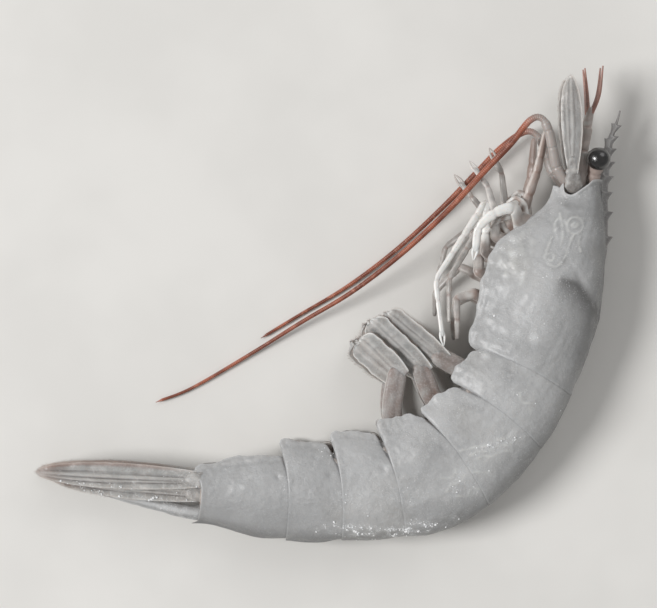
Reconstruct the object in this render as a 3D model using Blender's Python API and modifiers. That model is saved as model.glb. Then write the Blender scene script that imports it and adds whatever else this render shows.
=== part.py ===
"""A raw whiteleg shrimp, whole, lying on its right side.

Everything hangs on one body axis. A point of the animal is given in body coordinates:
    s  distance along the axis from the orbit, towards the tail (negative in front of the orbit)
    v  height above the axis, towards the back (negative towards the belly)
    w  sideways, towards the animal's left, which is world +Z here
The axis lies in the XY plane and curls where the shell plates meet. Units are metres.
"""

import math

import bmesh
import bpy
import numpy as np
from mathutils import Vector

MM = 0.001

# ---------- driving dimensions ----------

ORBIT = (52.04 * MM, 26.14 * MM)  # where the axis starts, so that the whole is centred on the origin
CARAPACE_LENGTH = 41.6 * MM
SEGMENT_LENGTHS = tuple(x * MM for x in (10.4, 12.5, 14.0, 11.5, 11.1, 18.2))
JOINT_HEADINGS = (9, 27, 38, 55, 76.5, 85.5, 88.5, 91)  # degrees from -Y towards -X, at each plate's end
JOINTS = tuple(np.cumsum((0, CARAPACE_LENGTH) + SEGMENT_LENGTHS))

JOINT_GAP = 0.5 * MM  # measured along the axis; the inside of the curl closes it to about 0.33 mm
REST_GAP = 0.4 * MM  # between a limb's root and the shell it hangs from

# outline of the body, as (s, size) pairs in mm that smooth curves run through
DORSAL_HEIGHT = (
    (0, 5.1), (12.5, 8.3), (31, 10.7), (53, 12.0), (71, 13.4), (84, 11.4), (103, 10.1), (119.3, 6.8),
)
HALF_WIDTH = ((0, 5.4), (8, 7.6), (22, 10), (36, 10.2), (60, 9.8), (78, 9.3), (101, 7.5), (119.3, 5.4))
CHEEK_DEPTH = ((0, 5.2), (7, 6.6), (12.5, 11.4), (19, 15.0), (25, 15.4), (34, 14.3), (41.6, 13.4))
BELLY_DEPTH = (
    (0, 4.2), (12.5, 9.4), (22, 12.8), (41.6, 10.2), (52, 8.4), (78.5, 7.2), (101, 5.6), (119.3, 4.0),
)
REST_LEVEL = ((-30, 9.7), (0, 9.7), (60, 9.4), (101, 7.5), (119.3, 6.2), (150, 6.5))  # height of the axis

PLEURON_DEPTH = tuple(x * MM for x in (12.7, 12.1, 13.0, 12.1, 10.9, 7.6))  # at the rear corner of each lobe
PLEURON_NOTCH = tuple(x * MM for x in (1.6, 2.4, 3.6, 3.6, 3.2, 0.4))  # how far its front is cut back
LAST_PLEURON_TAPER = 2.6 * MM  # the sixth plate narrows towards the tail instead
PLATE_FLARE = 0.35 * MM  # each plate's rear edge stands out by this, and its front is sunk by as much
JOINT_SWEEP = (-0.9 * MM, 0.8 * MM)  # a plate's edge runs forward at mid flank and back at its lobe
CAP_RECESS = 1.3 * MM
CAP_SCALE = 0.84
SHELL_WALL = 1.2 * MM  # thickness of a lobe below the flesh
FLANK_TUCK = 0.27  # share of the half width by which the flanks draw in at the bottom
CHEEK_TUCK = 0.42

ARCH_STEPS = 7
FLANK_STEPS = 4
RING_POINTS = 2 * (ARCH_STEPS + FLANK_STEPS + 2) + 2
PLATE_RINGS = (0, 0.04, 0.14, 0.3, 0.52, 0.76, 1)
CARAPACE_RINGS = 13

# ---------- curves that sizes follow ----------


def smooth_curve(pairs, unit=MM):
    """A function that runs smoothly through (station, value) pairs without overshooting them."""
    x = np.array([p[0] for p in pairs], float)
    y = np.array([p[1] for p in pairs], float)
    step = np.diff(x)
    rise = np.diff(y) / step
    slope = np.zeros(len(x))
    for i in range(1, len(x) - 1):
        if rise[i - 1] * rise[i] > 0:
            a, b = 2 * step[i] + step[i - 1], step[i] + 2 * step[i - 1]
            slope[i] = (a + b) / (a / rise[i - 1] + b / rise[i])

    def value(s):
        at = np.clip(np.asarray(s, float) / unit, x[0], x[-1])
        k = np.clip(np.searchsorted(x, at, side="right") - 1, 0, len(step) - 1)
        t = (at - x[k]) / step[k]
        h = step[k]
        left = (2 * t**3 - 3 * t**2 + 1) * y[k] + (t**3 - 2 * t**2 + t) * h * slope[k]
        right = (3 * t**2 - 2 * t**3) * y[k + 1] + (t**3 - t**2) * h * slope[k + 1]
        return left + right

    return value


def size_curve(pairs):
    """The same, for a size in millimetres, returned in metres."""
    curve = smooth_curve(pairs)
    return lambda s: float(curve(s)) * MM


heading = smooth_curve(tuple(zip(JOINTS, JOINT_HEADINGS)), unit=1)
dorsal_height = size_curve(DORSAL_HEIGHT)
half_width = size_curve(HALF_WIDTH)
cheek_depth = size_curve(CHEEK_DEPTH)
belly_depth = size_curve(BELLY_DEPTH)
rest_level = size_curve(REST_LEVEL)

# ---------- body coordinates ----------

AXIS_STEP = 0.1 * MM
AXIS_S = np.arange(-40 * MM, 180 * MM, AXIS_STEP)
AXIS_TURN = np.radians(heading(AXIS_S))
AXIS_START = int(np.searchsorted(AXIS_S, 0))
AXIS_X = -np.cumsum(np.sin(AXIS_TURN)) * AXIS_STEP
AXIS_Y = -np.cumsum(np.cos(AXIS_TURN)) * AXIS_STEP
AXIS_X += ORBIT[0] - AXIS_X[AXIS_START]
AXIS_Y += ORBIT[1] - AXIS_Y[AXIS_START]


def frame_at(s):
    """The point of the axis at station s, and the directions towards the tail, the back and the left."""
    turn = math.radians(float(heading(s)))
    centre = Vector((np.interp(s, AXIS_S, AXIS_X), np.interp(s, AXIS_S, AXIS_Y), rest_level(s)))
    tailward = Vector((-math.sin(turn), -math.cos(turn), 0))
    upward = Vector((math.cos(turn), -math.sin(turn), 0))
    return centre, tailward, upward, Vector((0, 0, 1))


def place(s, v, w):
    """World position of a point in body coordinates."""
    centre, _, upward, left = frame_at(s)
    return centre + v * upward + w * left


def place_shell(s, v, w):
    """The same on the shell, which is flat where it rests on the ground."""
    point = place(s, v, w)
    return Vector((point.x, point.y, max(point.z, 0)))


# ---------- objects ----------


def clear_scene():
    for obj in list(bpy.data.objects):
        bpy.data.objects.remove(obj)


def collection(name):
    found = bpy.data.collections.new(name)
    bpy.context.scene.collection.children.link(found)
    return found


def material(name, colour, roughness):
    made = bpy.data.materials.new(name)
    made.use_nodes = True
    shader = made.node_tree.nodes["Principled BSDF"]
    shader.inputs["Base Color"].default_value = (*colour, 1)
    shader.inputs["Roughness"].default_value = roughness
    shader.inputs["Metallic"].default_value = 0
    return made


def add_object(name, data, finish):
    obj = bpy.data.objects.new(name, data)
    obj.data.materials.append(finish)
    shrimp.objects.link(obj)
    return obj


def mesh_object(name, form, finish):
    """An object from a bmesh, facing outwards and shaded smooth."""
    bmesh.ops.recalc_face_normals(form, faces=form.faces)
    mesh = bpy.data.meshes.new(name)
    form.to_mesh(mesh)
    form.free()
    mesh.shade_smooth()
    mesh.set_sharp_from_angle(angle=math.radians(45))
    return add_object(name, mesh, finish)


def loft(name, rings, finish):
    """A closed skin over rings of equal length, with a flat face at each end."""
    form = bmesh.new()
    rows = [[form.verts.new(p) for p in ring] for ring in rings]
    for row, following in zip(rows[:-1], rows[1:]):
        for i in range(len(row)):
            j = (i + 1) % len(row)
            form.faces.new((row[i], row[j], following[j], following[i]))
    form.faces.new(rows[0])
    form.faces.new(rows[-1])
    return mesh_object(name, form, finish)


def add_solidify(obj, thickness):
    shell = obj.modifiers.new("thickness", "SOLIDIFY")
    shell.thickness = thickness
    shell.offset = 0
    shell.use_even_offset = True


def tube(name, points, radii, finish, sides_level=1):
    """A round limb: a curve through points, with its own radius at each and closed ends."""
    curve = bpy.data.curves.new(name, "CURVE")
    curve.dimensions = "3D"
    curve.bevel_depth = 1
    curve.bevel_resolution = sides_level
    curve.use_fill_caps = True
    spline = curve.splines.new("POLY")
    spline.points.add(len(points) - 1)
    for node, point, radius in zip(spline.points, points, radii):
        node.co = (*point, 1)
        node.radius = radius
    return add_object(name, curve, finish)


def as_mesh(obj):
    """Turns an object into a plain closed mesh of the same name, so that it can take part in a union."""
    graph = bpy.context.evaluated_depsgraph_get()
    mesh = bpy.data.meshes.new_from_object(obj.evaluated_get(graph))
    name, finish, matrix = obj.name, obj.active_material, obj.matrix_world.copy()
    bpy.data.objects.remove(obj)
    form = bmesh.new()
    form.from_mesh(mesh)
    bmesh.ops.remove_doubles(form, verts=form.verts, dist=0.00001)
    bpy.data.meshes.remove(mesh)
    made = mesh_object(name, form, finish)
    made.matrix_world = matrix
    return made


def fuse(body, pieces):
    """One solid from a body and the pieces that grow out of it."""
    body = as_mesh(body)
    pieces = [as_mesh(piece) for piece in pieces]
    joined = bpy.data.collections.new(body.name + "_pieces")
    bpy.context.scene.collection.children.link(joined)
    for piece in pieces:
        joined.objects.link(piece)
    union = body.modifiers.new("union", "BOOLEAN")
    union.operation = "UNION"
    union.operand_type = "COLLECTION"
    union.collection = joined
    union.solver = "EXACT"
    graph = bpy.context.evaluated_depsgraph_get()
    mesh = bpy.data.meshes.new_from_object(body.evaluated_get(graph))
    body.modifiers.clear()
    body.data = mesh
    for piece in pieces:
        bpy.data.objects.remove(piece)
    bpy.data.collections.remove(joined)
    return body


# ---------- shell ----------


def shell_section(dorsal, ventral, width, belly, tuck):
    """Half-round back, flanks that draw in to two thin lobes, and the belly between, as (v, w) points."""
    widest = -0.1 * ventral
    drop = ventral + widest
    left = []
    for i in range(ARCH_STEPS + 1):
        turn = 0.5 * math.pi * i / ARCH_STEPS
        left.append((widest + (dorsal - widest) * math.cos(turn) ** 0.9, width * math.sin(turn) ** 0.9))
    for i in range(1, FLANK_STEPS + 1):
        share = i / FLANK_STEPS
        left.append((widest - drop * share, width * (1 - tuck * share**2)))
    share = (belly + widest) / drop
    left.append((-ventral + 0.25 * SHELL_WALL, width * (1 - tuck) - SHELL_WALL))
    left.append((-belly, width * (1 - tuck * share**2) - SHELL_WALL))
    right = [(v, -w) for v, w in reversed(left[1:])]
    return left + [(-belly - 0.5 * SHELL_WALL, 0)] + right


def swept(s, v, dorsal, ventral):
    """Station of a point on a plate's ring, whose edge runs forward at mid flank and back at the lobe."""
    share = (v / (dorsal if v > 0 else ventral)) ** 2
    back = JOINT_SWEEP[1] * share if v < 0 else 0
    return s + JOINT_SWEEP[0] * (1 - share) + back


def plate_depth(index, u):
    """How deep the lobe of an abdominal plate hangs at a share u of its length."""
    rear, notch = PLEURON_DEPTH[index], PLEURON_NOTCH[index]
    if index == len(SEGMENT_LENGTHS) - 1:
        return rear - LAST_PLEURON_TAPER * u**2
    return rear - notch * (1 - math.sqrt(1 - (1 - u) ** 2))


def plate_ring(s, dorsal, ventral, width, tuck, scale=1.0, sweep=True):
    belly = min(belly_depth(s), ventral - 0.5 * SHELL_WALL)
    ring = []
    for v, w in shell_section(dorsal, ventral, width, belly, tuck):
        at = swept(s, v, dorsal, ventral) if sweep else s
        ring.append(place_shell(at, v * scale, w * scale))
    return ring


def closed_plate(name, stations, sizes, tuck, sweep_front, finish):
    """A plate from rings at stations, each (dorsal, ventral, width), with sunk caps inside both rims."""
    rings = [plate_ring(stations[0] + CAP_RECESS, *sizes[0], tuck, CAP_SCALE, False)]
    for i, (s, size) in enumerate(zip(stations, sizes)):
        rings.append(plate_ring(s, *size, tuck, 1.0, sweep_front or i > len(stations) // 2))
    rings.append(plate_ring(stations[-1] - CAP_RECESS, *sizes[-1], tuck, CAP_SCALE, False))
    return loft(name, rings, finish)


def abdominal_plate(index):
    start, end = JOINTS[index + 1] + JOINT_GAP, JOINTS[index + 2]
    stations, sizes = [], []
    for u in PLATE_RINGS:
        s = start + (end - start) * u
        flare = PLATE_FLARE * (u**3 - (1 - u) ** 4)
        stations.append(s)
        sizes.append((dorsal_height(s) + flare, plate_depth(index, u), half_width(s) + flare))
    return closed_plate(f"segment_{index + 1}", stations, sizes, FLANK_TUCK, True, shell_finish)


# the rostrum: a toothed blade on the midline, fused to the head shell
ROSTRUM_TOP = smooth_curve(((-15.5, 6.8), (-9, 6.2), (0, 6.6), (8, 7.9), (15, 8.8)))
ROSTRUM_BELOW = smooth_curve(((-15.5, 6.4), (-9, 4.9), (0, 3.4), (8, 5.0), (15, 7.0)))
ROSTRUM_REACH = (-15.5 * MM, 15 * MM)
ROSTRUM_THICKNESS = 1.3 * MM
TOP_TEETH = tuple(x * MM for x in (12.5, 7.5, 3.5, 0.2, -2.8, -5.6, -8.2, -10.6))  # stations of the roots
UNDER_TEETH = tuple(x * MM for x in (-7.5, -10.8))
TOOTH = (2.0 * MM, 1.1 * MM)  # length and height


def rostrum():
    front, back = ROSTRUM_REACH
    outline = [(back, float(ROSTRUM_TOP(back)) * MM)]
    for s in TOP_TEETH:
        height = float(ROSTRUM_TOP(s)) * MM
        outline.append((s, height))
        outline.append((s - TOOTH[0], height + TOOTH[1]))
        outline.append((s - 0.75 * TOOTH[0], float(ROSTRUM_TOP(s - 0.75 * TOOTH[0])) * MM))
    outline.append((front, 0.5 * (float(ROSTRUM_TOP(front)) + float(ROSTRUM_BELOW(front))) * MM))
    for s in reversed(UNDER_TEETH):
        height = float(ROSTRUM_BELOW(s)) * MM
        outline.append((s - 0.75 * TOOTH[0], float(ROSTRUM_BELOW(s - 0.75 * TOOTH[0])) * MM))
        outline.append((s - TOOTH[0], height - 0.6 * TOOTH[1]))
        outline.append((s, height))
    for s in np.linspace(-5 * MM, back, 5):
        outline.append((float(s), float(ROSTRUM_BELOW(s)) * MM))
    curve = bpy.data.curves.new("rostrum", "CURVE")
    curve.dimensions = "2D"
    curve.fill_mode = "BOTH"
    curve.extrude = 0.5 * ROSTRUM_THICKNESS
    spline = curve.splines.new("POLY")
    spline.points.add(len(outline) - 1)
    spline.use_cyclic_u = True
    for node, (s, v) in zip(spline.points, outline):
        point = place(s, v, 0)
        node.co = (point.x, point.y, 0, 1)
    blade_object = add_object("rostrum", curve, shell_finish)
    blade_object.location.z = rest_level(0)
    bpy.context.view_layer.update()
    return blade_object


def carapace():
    stations = [CARAPACE_LENGTH * (i / (CARAPACE_RINGS - 1)) for i in range(CARAPACE_RINGS)]
    sizes = [(dorsal_height(s), cheek_depth(s), half_width(s)) for s in stations]
    sizes[-1] = tuple(x + PLATE_FLARE for x in sizes[-1])
    shell = closed_plate("carapace", stations, sizes, CHEEK_TUCK, False, shell_finish)
    return fuse(shell, [rostrum()])


# ---------- blades: tail fan, antennal scales, swimmerets ----------

BLADE_ROWS = 7
BLADE_COLUMNS = 4


def blade(name, station, root, tip, across, width, arch, thickness, root_share=0.45, widest=0.55):
    """A thin paddle from root to tip, given in body coordinates of the frame at one station.

    across is the direction of its width, and arch how far its middle stands off its edges."""
    centre, tailward, upward, left = frame_at(station)
    root, tip, across = Vector(root), Vector(tip), Vector(across).normalized()
    along = tip - root
    normal = along.cross(across).normalized()
    form = bmesh.new()
    rows = []
    for i in range(BLADE_ROWS):
        share = math.sin(0.5 * math.pi * i / (BLADE_ROWS - 1))
        if share < widest:
            half = root_share + (1 - root_share) * math.sin(0.5 * math.pi * share / widest)
        else:
            half = math.sqrt(max(1 - ((share - widest) / (1 - widest)) ** 2.4, 0.03))
        row = []
        for j in range(BLADE_COLUMNS + 1):
            x = 2 * j / BLADE_COLUMNS - 1
            local = root + along * share + across * (0.5 * width * half * x)
            local += normal * (arch * half * (1 - x * x))
            row.append(form.verts.new(centre + tailward * local.x + upward * local.y + left * local.z))
        rows.append(row)
    for row, following in zip(rows[:-1], rows[1:]):
        for j in range(BLADE_COLUMNS):
            form.faces.new((row[j], row[j + 1], following[j + 1], following[j]))
    made = mesh_object(name, form, fin_finish)
    add_solidify(made, thickness)
    return made


TAIL = JOINTS[-1]
TELSON_LENGTH = 24 * MM
TELSON_RINGS = 6
TELSON_POINTS = 10
TELSON_CENTRE = smooth_curve(((0, 4.9), (9, 3.4), (19, 1.4), (24, 0.5)))
TELSON_HALF_WIDTH = smooth_curve(((0, 2.5), (9, 2.0), (19, 1.1), (24, 0.35)))
TELSON_HALF_HEIGHT = smooth_curve(((0, 1.5), (9, 1.2), (19, 0.75), (24, 0.25)))
TELSON_GAP = 0.35 * MM


def telson():
    rings = []
    for i in range(TELSON_RINGS):
        run = TELSON_LENGTH * i / (TELSON_RINGS - 1)
        centre, width, height = (
            float(curve(run)) * MM for curve in (TELSON_CENTRE, TELSON_HALF_WIDTH, TELSON_HALF_HEIGHT)
        )
        ring = []
        for k in range(TELSON_POINTS):
            turn = 2 * math.pi * k / TELSON_POINTS
            rise, side = height * math.sin(turn), width * math.cos(turn)
            ring.append(place(TAIL + TELSON_GAP + run, centre + rise, side))
        rings.append(ring)
    return loft("telson", rings, shell_finish)


# root, tip and width direction of the left blades, in mm from the sixth plate's end, mirrored on the right
UROPODS = {
    "outer": {"root": (0.35, -2.2, 4.4), "tip": (34.2, -3.2, 3.6), "across": (0, 1, 0.12), "width": 5.4},
    "inner": {"root": (0.35, 0.9, 2.9), "tip": (31.0, -1.9, 1.9), "across": (0, 1, 0), "width": 5.2},
}
UROPOD_ARCH = 0.5 * MM
UROPOD_WIDEST = 0.48  # share of its length
UROPOD_ROOT = 0.64  # share of its width at the root
UROPOD_THICKNESS = 0.6 * MM
SIDES = {"left": 1, "right": -1}


def in_metres(point, side=1):
    return point[0] * MM, point[1] * MM, side * point[2] * MM


def tail_fan():
    telson()
    for kind, sizes in UROPODS.items():
        for side_name, side in SIDES.items():
            root, tip = in_metres(sizes["root"], side), in_metres(sizes["tip"], side)
            across = (*sizes["across"][:2], side * sizes["across"][2])
            blade(
                f"uropod_{kind}_{side_name}", TAIL, root, tip, across, sizes["width"] * MM,
                -side * UROPOD_ARCH, UROPOD_THICKNESS, UROPOD_ROOT, UROPOD_WIDEST,
            )


# ---------- limbs that are round ----------


def body_path(points, side=1):
    """World positions of a path given in body coordinates, in mm."""
    return [place(*in_metres(point, side)) for point in points]


def rounded_path(points, turns=3):
    """Softens each knee of a path by cutting its corner, keeping the ends."""
    path = [points[0]]
    for before, knee, after in zip(points[:-2], points[1:-1], points[2:]):
        for i in range(turns):
            t = (i + 0.5) / turns
            first, second = knee.lerp(before, 0.16), knee.lerp(after, 0.16)
            path.append(first.lerp(knee, t).lerp(knee.lerp(second, t), t))
    path.append(points[-1])
    return path


def tapered(count, thick, thin):
    return [thick + (thin - thick) * i / (count - 1) for i in range(count)]


# paths of the limbs under the head: the left ones as they lie, the right ones nearer the ground
LEGS = {
    "maxilliped_left": ((12.2, -12.3, 2.6), (8, -10.2, 3), (0, -8.7, 2.8), (-8.3, -8.2, 2.8)),
    "leg_1_left": (
        (10.6, -11, 5.4), (8.7, -12.8, 7.4), (10.5, -16.2, 8.4), (14.4, -18.8, 8.2), (19.5, -18.6, 7.4),
    ),
    "leg_2_left": ((15.6, -14.9, 4.2), (9.9, -16.2, 5.2), (4.8, -18.4, 4), (1.5, -21.4, 2.2)),
    "leg_3_left": (
        (19.6, -16.3, 4.2), (7.6, -18, 1.8), (17, -21.4, 4.4), (30.2, -24.6, 6.2), (43.2, -18.8, 6.6),
    ),
    "leg_4_left": ((24.6, -16.5, 3.4), (14.2, -18.4, 0.2), (28.6, -21.9, 1.8), (39, -18.6, 1.6)),
    "leg_5_left": ((30.2, -16, 4.4), (32.8, -19.2, 4.4), (38, -17.2, 4), (42, -15.6, 3.6)),
    "maxilliped_right": ((12.2, -11.7, -2.6), (8, -10, -2.8), (1, -9.4, -2.6), (-6.6, -10, -2.4)),
    "leg_1_right": ((13, -13.4, 0.2), (8.2, -14, 0.4), (1.3, -15.8, 0.6), (-1.5, -17.8, 0.8)),
    "leg_2_right": ((16.2, -15.3, -3.6), (11, -17, -3.8), (7.2, -21, -4.4), (4.6, -23.6, -5)),
    "leg_3_right": ((20.2, -16.6, -3.6), (14.6, -20, -4.4), (20.5, -24.2, -6.4), (26.5, -24, -7.4)),
    "leg_4_right": ((25.2, -16.8, -3.6), (24.6, -20.4, -4.6), (33, -23.4, -6.4), (39, -21.6, -7)),
    "leg_5_right": ((30.6, -16.3, -3.6), (34, -18.6, -4.4), (39, -17.4, -5.6), (42.5, -15.8, -6)),
}
LEG_RADII = {"maxilliped": (1.15 * MM, 0.6 * MM), "leg": (0.95 * MM, 0.45 * MM)}
CLAWED = ("leg_1", "leg_2", "leg_3")
CLAW_LENGTH = 2.4 * MM
CLAW_SPREAD = 0.42 * MM
CLAW_OVERLAP = 0.8 * MM  # of each finger with the leg that it grows from
CLAW_RADII = (0.32 * MM, 0.28 * MM, 0.1 * MM)


def claw(name, end, direction):
    """The two short fingers at a leg's tip."""
    side = direction.cross(Vector((0, 0, 1))).normalized() * CLAW_SPREAD
    fingers = []
    for number, turn in enumerate((1, -1)):
        root = end - direction * CLAW_OVERLAP + side * turn / 3
        tip = end + direction * CLAW_LENGTH + side * turn
        path = [root, root.lerp(tip, 0.6), tip]
        fingers.append(tube(f"{name}_finger_{number}", path, CLAW_RADII, limb_finish))
    return fingers


def legs():
    for name, points in LEGS.items():
        path = rounded_path(body_path(points))
        thick, thin = LEG_RADII[name.split("_")[0]]
        leg = tube(name, path, tapered(len(path), thick, thin), limb_finish)
        if name.rsplit("_", 1)[0] in CLAWED:
            direction = (path[-1] - path[-2]).normalized()
            fuse(leg, claw(name, path[-1], direction))


# ---------- head: eyes, feelers and their scales ----------

EYE_ROOT = (-0.6, 3.3, 2.3)
EYE_CENTRE = (-4.6, 3.4, 4.8)
EYE_RADIUS = 2.5 * MM
EYE_STALK_RADII = (1.0 * MM, 1.5 * MM)
EYE_MERIDIANS, EYE_PARALLELS = 14, 9


def eye(side_name, side):
    root, centre = body_path((EYE_ROOT, EYE_CENTRE), side)
    stalk = tube(f"eye_{side_name}", [root, root.lerp(centre, 0.75)], EYE_STALK_RADII, eye_finish, 2)
    form = bmesh.new()
    bmesh.ops.create_uvsphere(form, u_segments=EYE_MERIDIANS, v_segments=EYE_PARALLELS, radius=EYE_RADIUS)
    bmesh.ops.translate(form, verts=form.verts, vec=centre)
    fuse(stalk, [mesh_object(f"cornea_{side_name}", form, eye_finish)])


SCALE_ROOT = (-0.9, -1.4, 4.8)
SCALE_TIP = (-20.5, -5.2, 6.4)
SCALE_ACROSS = (0, 0.78, 0.62)
SCALE_WIDTH = 5.4 * MM
SCALE_ARCH = 0.5 * MM
SCALE_THICKNESS = 0.6 * MM


def antennal_scale(side_name, side):
    root, tip = in_metres(SCALE_ROOT, side), in_metres(SCALE_TIP, side)
    across = (*SCALE_ACROSS[:2], side * SCALE_ACROSS[2])
    arch = side * SCALE_ARCH
    blade(f"antennal_scale_{side_name}", 0, root, tip, across, SCALE_WIDTH, arch, SCALE_THICKNESS)


ANTENNULE = {
    "stem": ((-0.6, 0.4, 2.2), (-6.0, 0.2, 2.0), (-6.3, 0.2, 2.0), (-11.0, 0.3, 1.8), (-14.5, 0.4, 1.7)),
    "stem_radii": tuple(x * MM for x in (1.35, 1.3, 1.05, 1.1, 0.8)),
    "upper": ((-13.8, 0.7, 1.8), (-18.0, 1.6, 2.4), (-24.0, 1.4, 3.0)),
    "lower": ((-13.8, 0.0, 1.6), (-18.0, -0.9, 1.8), (-23.0, -2.2, 2.2)),
    "whip_radii": (0.45 * MM, 0.36 * MM, 0.16 * MM),
}


def antennule(side_name, side):
    name = f"antennule_{side_name}"
    stem = tube(name, body_path(ANTENNULE["stem"], side), ANTENNULE["stem_radii"], limb_finish, 2)
    whips = []
    for kind in ("upper", "lower"):
        path = body_path(ANTENNULE[kind], side)
        whips.append(tube(f"{name}_{kind}", path, ANTENNULE["whip_radii"], limb_finish))
    fuse(stem, whips)


# long feelers: (x, y, z) from the orbit in mm. They double back at the stem and lie along the belly side
FEELERS = {
    "antenna_left": (
        (-4.5, 2.1, 13.4), (-5.4, 5.8, 14.2), (-6.3, 9.6, 14.8), (-7.8, 12.4, 15), (-10.3, 11.9, 15),
        (-14.3, 7, 14.9), (-19.5, 1.6, 14.6), (-27.3, -6.8, 12.6), (-36.7, -15.6, 9), (-47.1, -23.6, 5.4),
        (-57.6, -29.9, 2.8), (-68, -36.4, 1.2), (-80.9, -43.9, 0.8), (-88.7, -47, 0.8),
    ),
    "antenna_right": (
        (-4.9, 2, 5.6), (-6, 5.4, 5), (-7.8, 9.2, 4.6), (-10.6, 10.2, 4.4), (-15.4, 7, 4.2),
        (-20.4, 2, 3.8), (-28.2, -6, 3), (-37.6, -14.6, 1.4), (-48, -22.4, 0.7), (-58.4, -28.6, 0.7),
        (-66.4, -33.4, 0.7),
    ),
}
FEELER_RADII = (1.25 * MM, 0.3 * MM)
FEELER_WHIP = 0.62 * MM
FEELER_STEM_SHARE = 0.09
FEELER_POINTS = 34


def smooth_route(points, count):
    """Evenly spaced points on a smooth curve through the given ones."""
    padded = [points[0] * 2 - points[1], *points, points[-1] * 2 - points[-2]]
    dense = []
    for a, b, c, d in zip(padded[:-3], padded[1:-2], padded[2:-1], padded[3:]):
        square, cube = 2 * a - 5 * b + 4 * c - d, 3 * b - a - 3 * c + d
        for t in np.linspace(0, 1, 12, endpoint=False):
            dense.append(0.5 * (2 * b + (c - a) * t + square * t**2 + cube * t**3))
    dense.append(points[-1])
    run = np.cumsum([0] + [(q - p).length for p, q in zip(dense[:-1], dense[1:])])
    coordinates = np.array(dense)
    even = np.linspace(0, run[-1], count)
    return [Vector([np.interp(x, run, coordinates[:, k]) for k in range(3)]) for x in even]


def feeler(name):
    points = [Vector((ORBIT[0] + x * MM, ORBIT[1] + y * MM, z * MM)) for x, y, z in FEELERS[name]]
    path = smooth_route(points, FEELER_POINTS)
    radii = []
    for i in range(FEELER_POINTS):
        share = i / (FEELER_POINTS - 1)
        if share < FEELER_STEM_SHARE:
            radii.append(FEELER_RADII[0])
        else:
            fall = (share - FEELER_STEM_SHARE) / (1 - FEELER_STEM_SHARE)
            radii.append(FEELER_WHIP + (FEELER_RADII[1] - FEELER_WHIP) * fall)
    return tube(name, path, radii, feeler_finish)


# ---------- swimmerets ----------

# of each pair: place of the roots along the body and off the midline, length of the stem, its lean towards
# the head and its splay in degrees, then the same and the width of the paddle that bends off it, in mm
SWIMMERETS = {
    1: {"root": (48.6, 4.2), "stem": (6.2, -6, 8), "paddle": (15.0, 5, 6.5), "width": 4.6},
    2: {"root": (61.0, 3.6), "stem": (8.8, 16, 7), "paddle": (15.2, -7, 7), "width": 5.2},
    3: {"root": (75.0, 3.1), "stem": (12.8, 18, 14), "paddle": (11.0, -30, 2), "width": 6.0},
    4: {"root": (80.6, 2.2), "stem": (3.8, -88, 0), "paddle": (4.8, -92, 0), "width": 3.2},
    5: {"root": (91.6, 2.2), "stem": (3.6, -89, 0), "paddle": (4.4, -92, 0), "width": 3.0},
}
SWIMMERET_STEM_RADII = (1.6 * MM, 1.6 * MM, 1.3 * MM)
FOLDED_STEM_RADII = (1.1 * MM, 1.1 * MM, 0.9 * MM)
PADDLE_THICKNESS = 0.55 * MM
PADDLE_ARCH = 0.4 * MM
PADDLE_ROOT = 0.35  # share of its width at the stem
PADDLE_SUNK = 1.0 * MM  # how far it starts inside the stem's end
INNER_PADDLE_SHARE = 0.6  # the inner paddle's size beside the outer one's
INNER_PADDLE_INSET = 3.2 * MM
FOLDED_LEAN = -45  # past this a swimmeret lies flat along the belly
PADDLE_TURN = -25  # degrees between an open paddle's face and the side view, its front edge outermost
RIGHT_LAG = 3  # degrees by which the right swimmerets lie further back


def swimmeret(number, side_name, side):
    sizes = SWIMMERETS[number]
    station, offset = (x * MM for x in sizes["root"])
    lag = RIGHT_LAG if side < 0 else 0

    def stretch(length, lean_degrees, splay_degrees):
        lean, splay = math.radians(lean_degrees - lag), math.radians(splay_degrees)
        down, out = math.cos(lean) * math.cos(splay), math.cos(lean) * math.sin(splay)
        return length * MM, lean, Vector((-math.sin(lean), -down, side * out))

    stem_length, stem_lean, stem_way = stretch(*sizes["stem"])
    paddle_length, lean, paddle_way = stretch(*sizes["paddle"])
    folded = sizes["paddle"][1] < FOLDED_LEAN
    turn = math.radians(90 if folded else PADDLE_TURN)
    flat = math.cos(turn)
    across = Vector((flat * math.cos(lean), -flat * math.sin(lean), side * math.sin(turn)))
    stem_radii = FOLDED_STEM_RADII if folded else SWIMMERET_STEM_RADII
    tilt = stem_radii[0] * abs(math.sin(stem_lean))
    root = Vector((0, -belly_depth(station) - 0.5 * SHELL_WALL - REST_GAP - tilt, side * offset))
    stem_end = root + stem_way * stem_length

    def world(local):
        centre, tailward, upward, left = frame_at(station)
        return centre + tailward * local.x + upward * local.y + left * local.z

    name = f"swimmeret_{number}_{side_name}"
    stem_path = [world(root), world(root.lerp(stem_end, 0.5)), world(stem_end)]
    stem = tube(name, stem_path, stem_radii, fin_finish)
    start = stem_end - paddle_way * PADDLE_SUNK
    tip = stem_end + paddle_way * paddle_length
    width, arch = sizes["width"] * MM, side * PADDLE_ARCH
    paddles = [(start, tip, width)]
    if not folded and number > 1:
        inward = Vector((0, 0, -side * INNER_PADDLE_INSET))
        inner_tip = start.lerp(tip, INNER_PADDLE_SHARE) + inward
        paddles.append((start + 0.12 * inward, inner_tip, INNER_PADDLE_SHARE * width))
    fuse(stem, [
        blade(f"{name}_paddle_{i}", station, low, high, across, wide, arch, PADDLE_THICKNESS, PADDLE_ROOT)
        for i, (low, high, wide) in enumerate(paddles)
    ])


# ---------- the shrimp ----------

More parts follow.
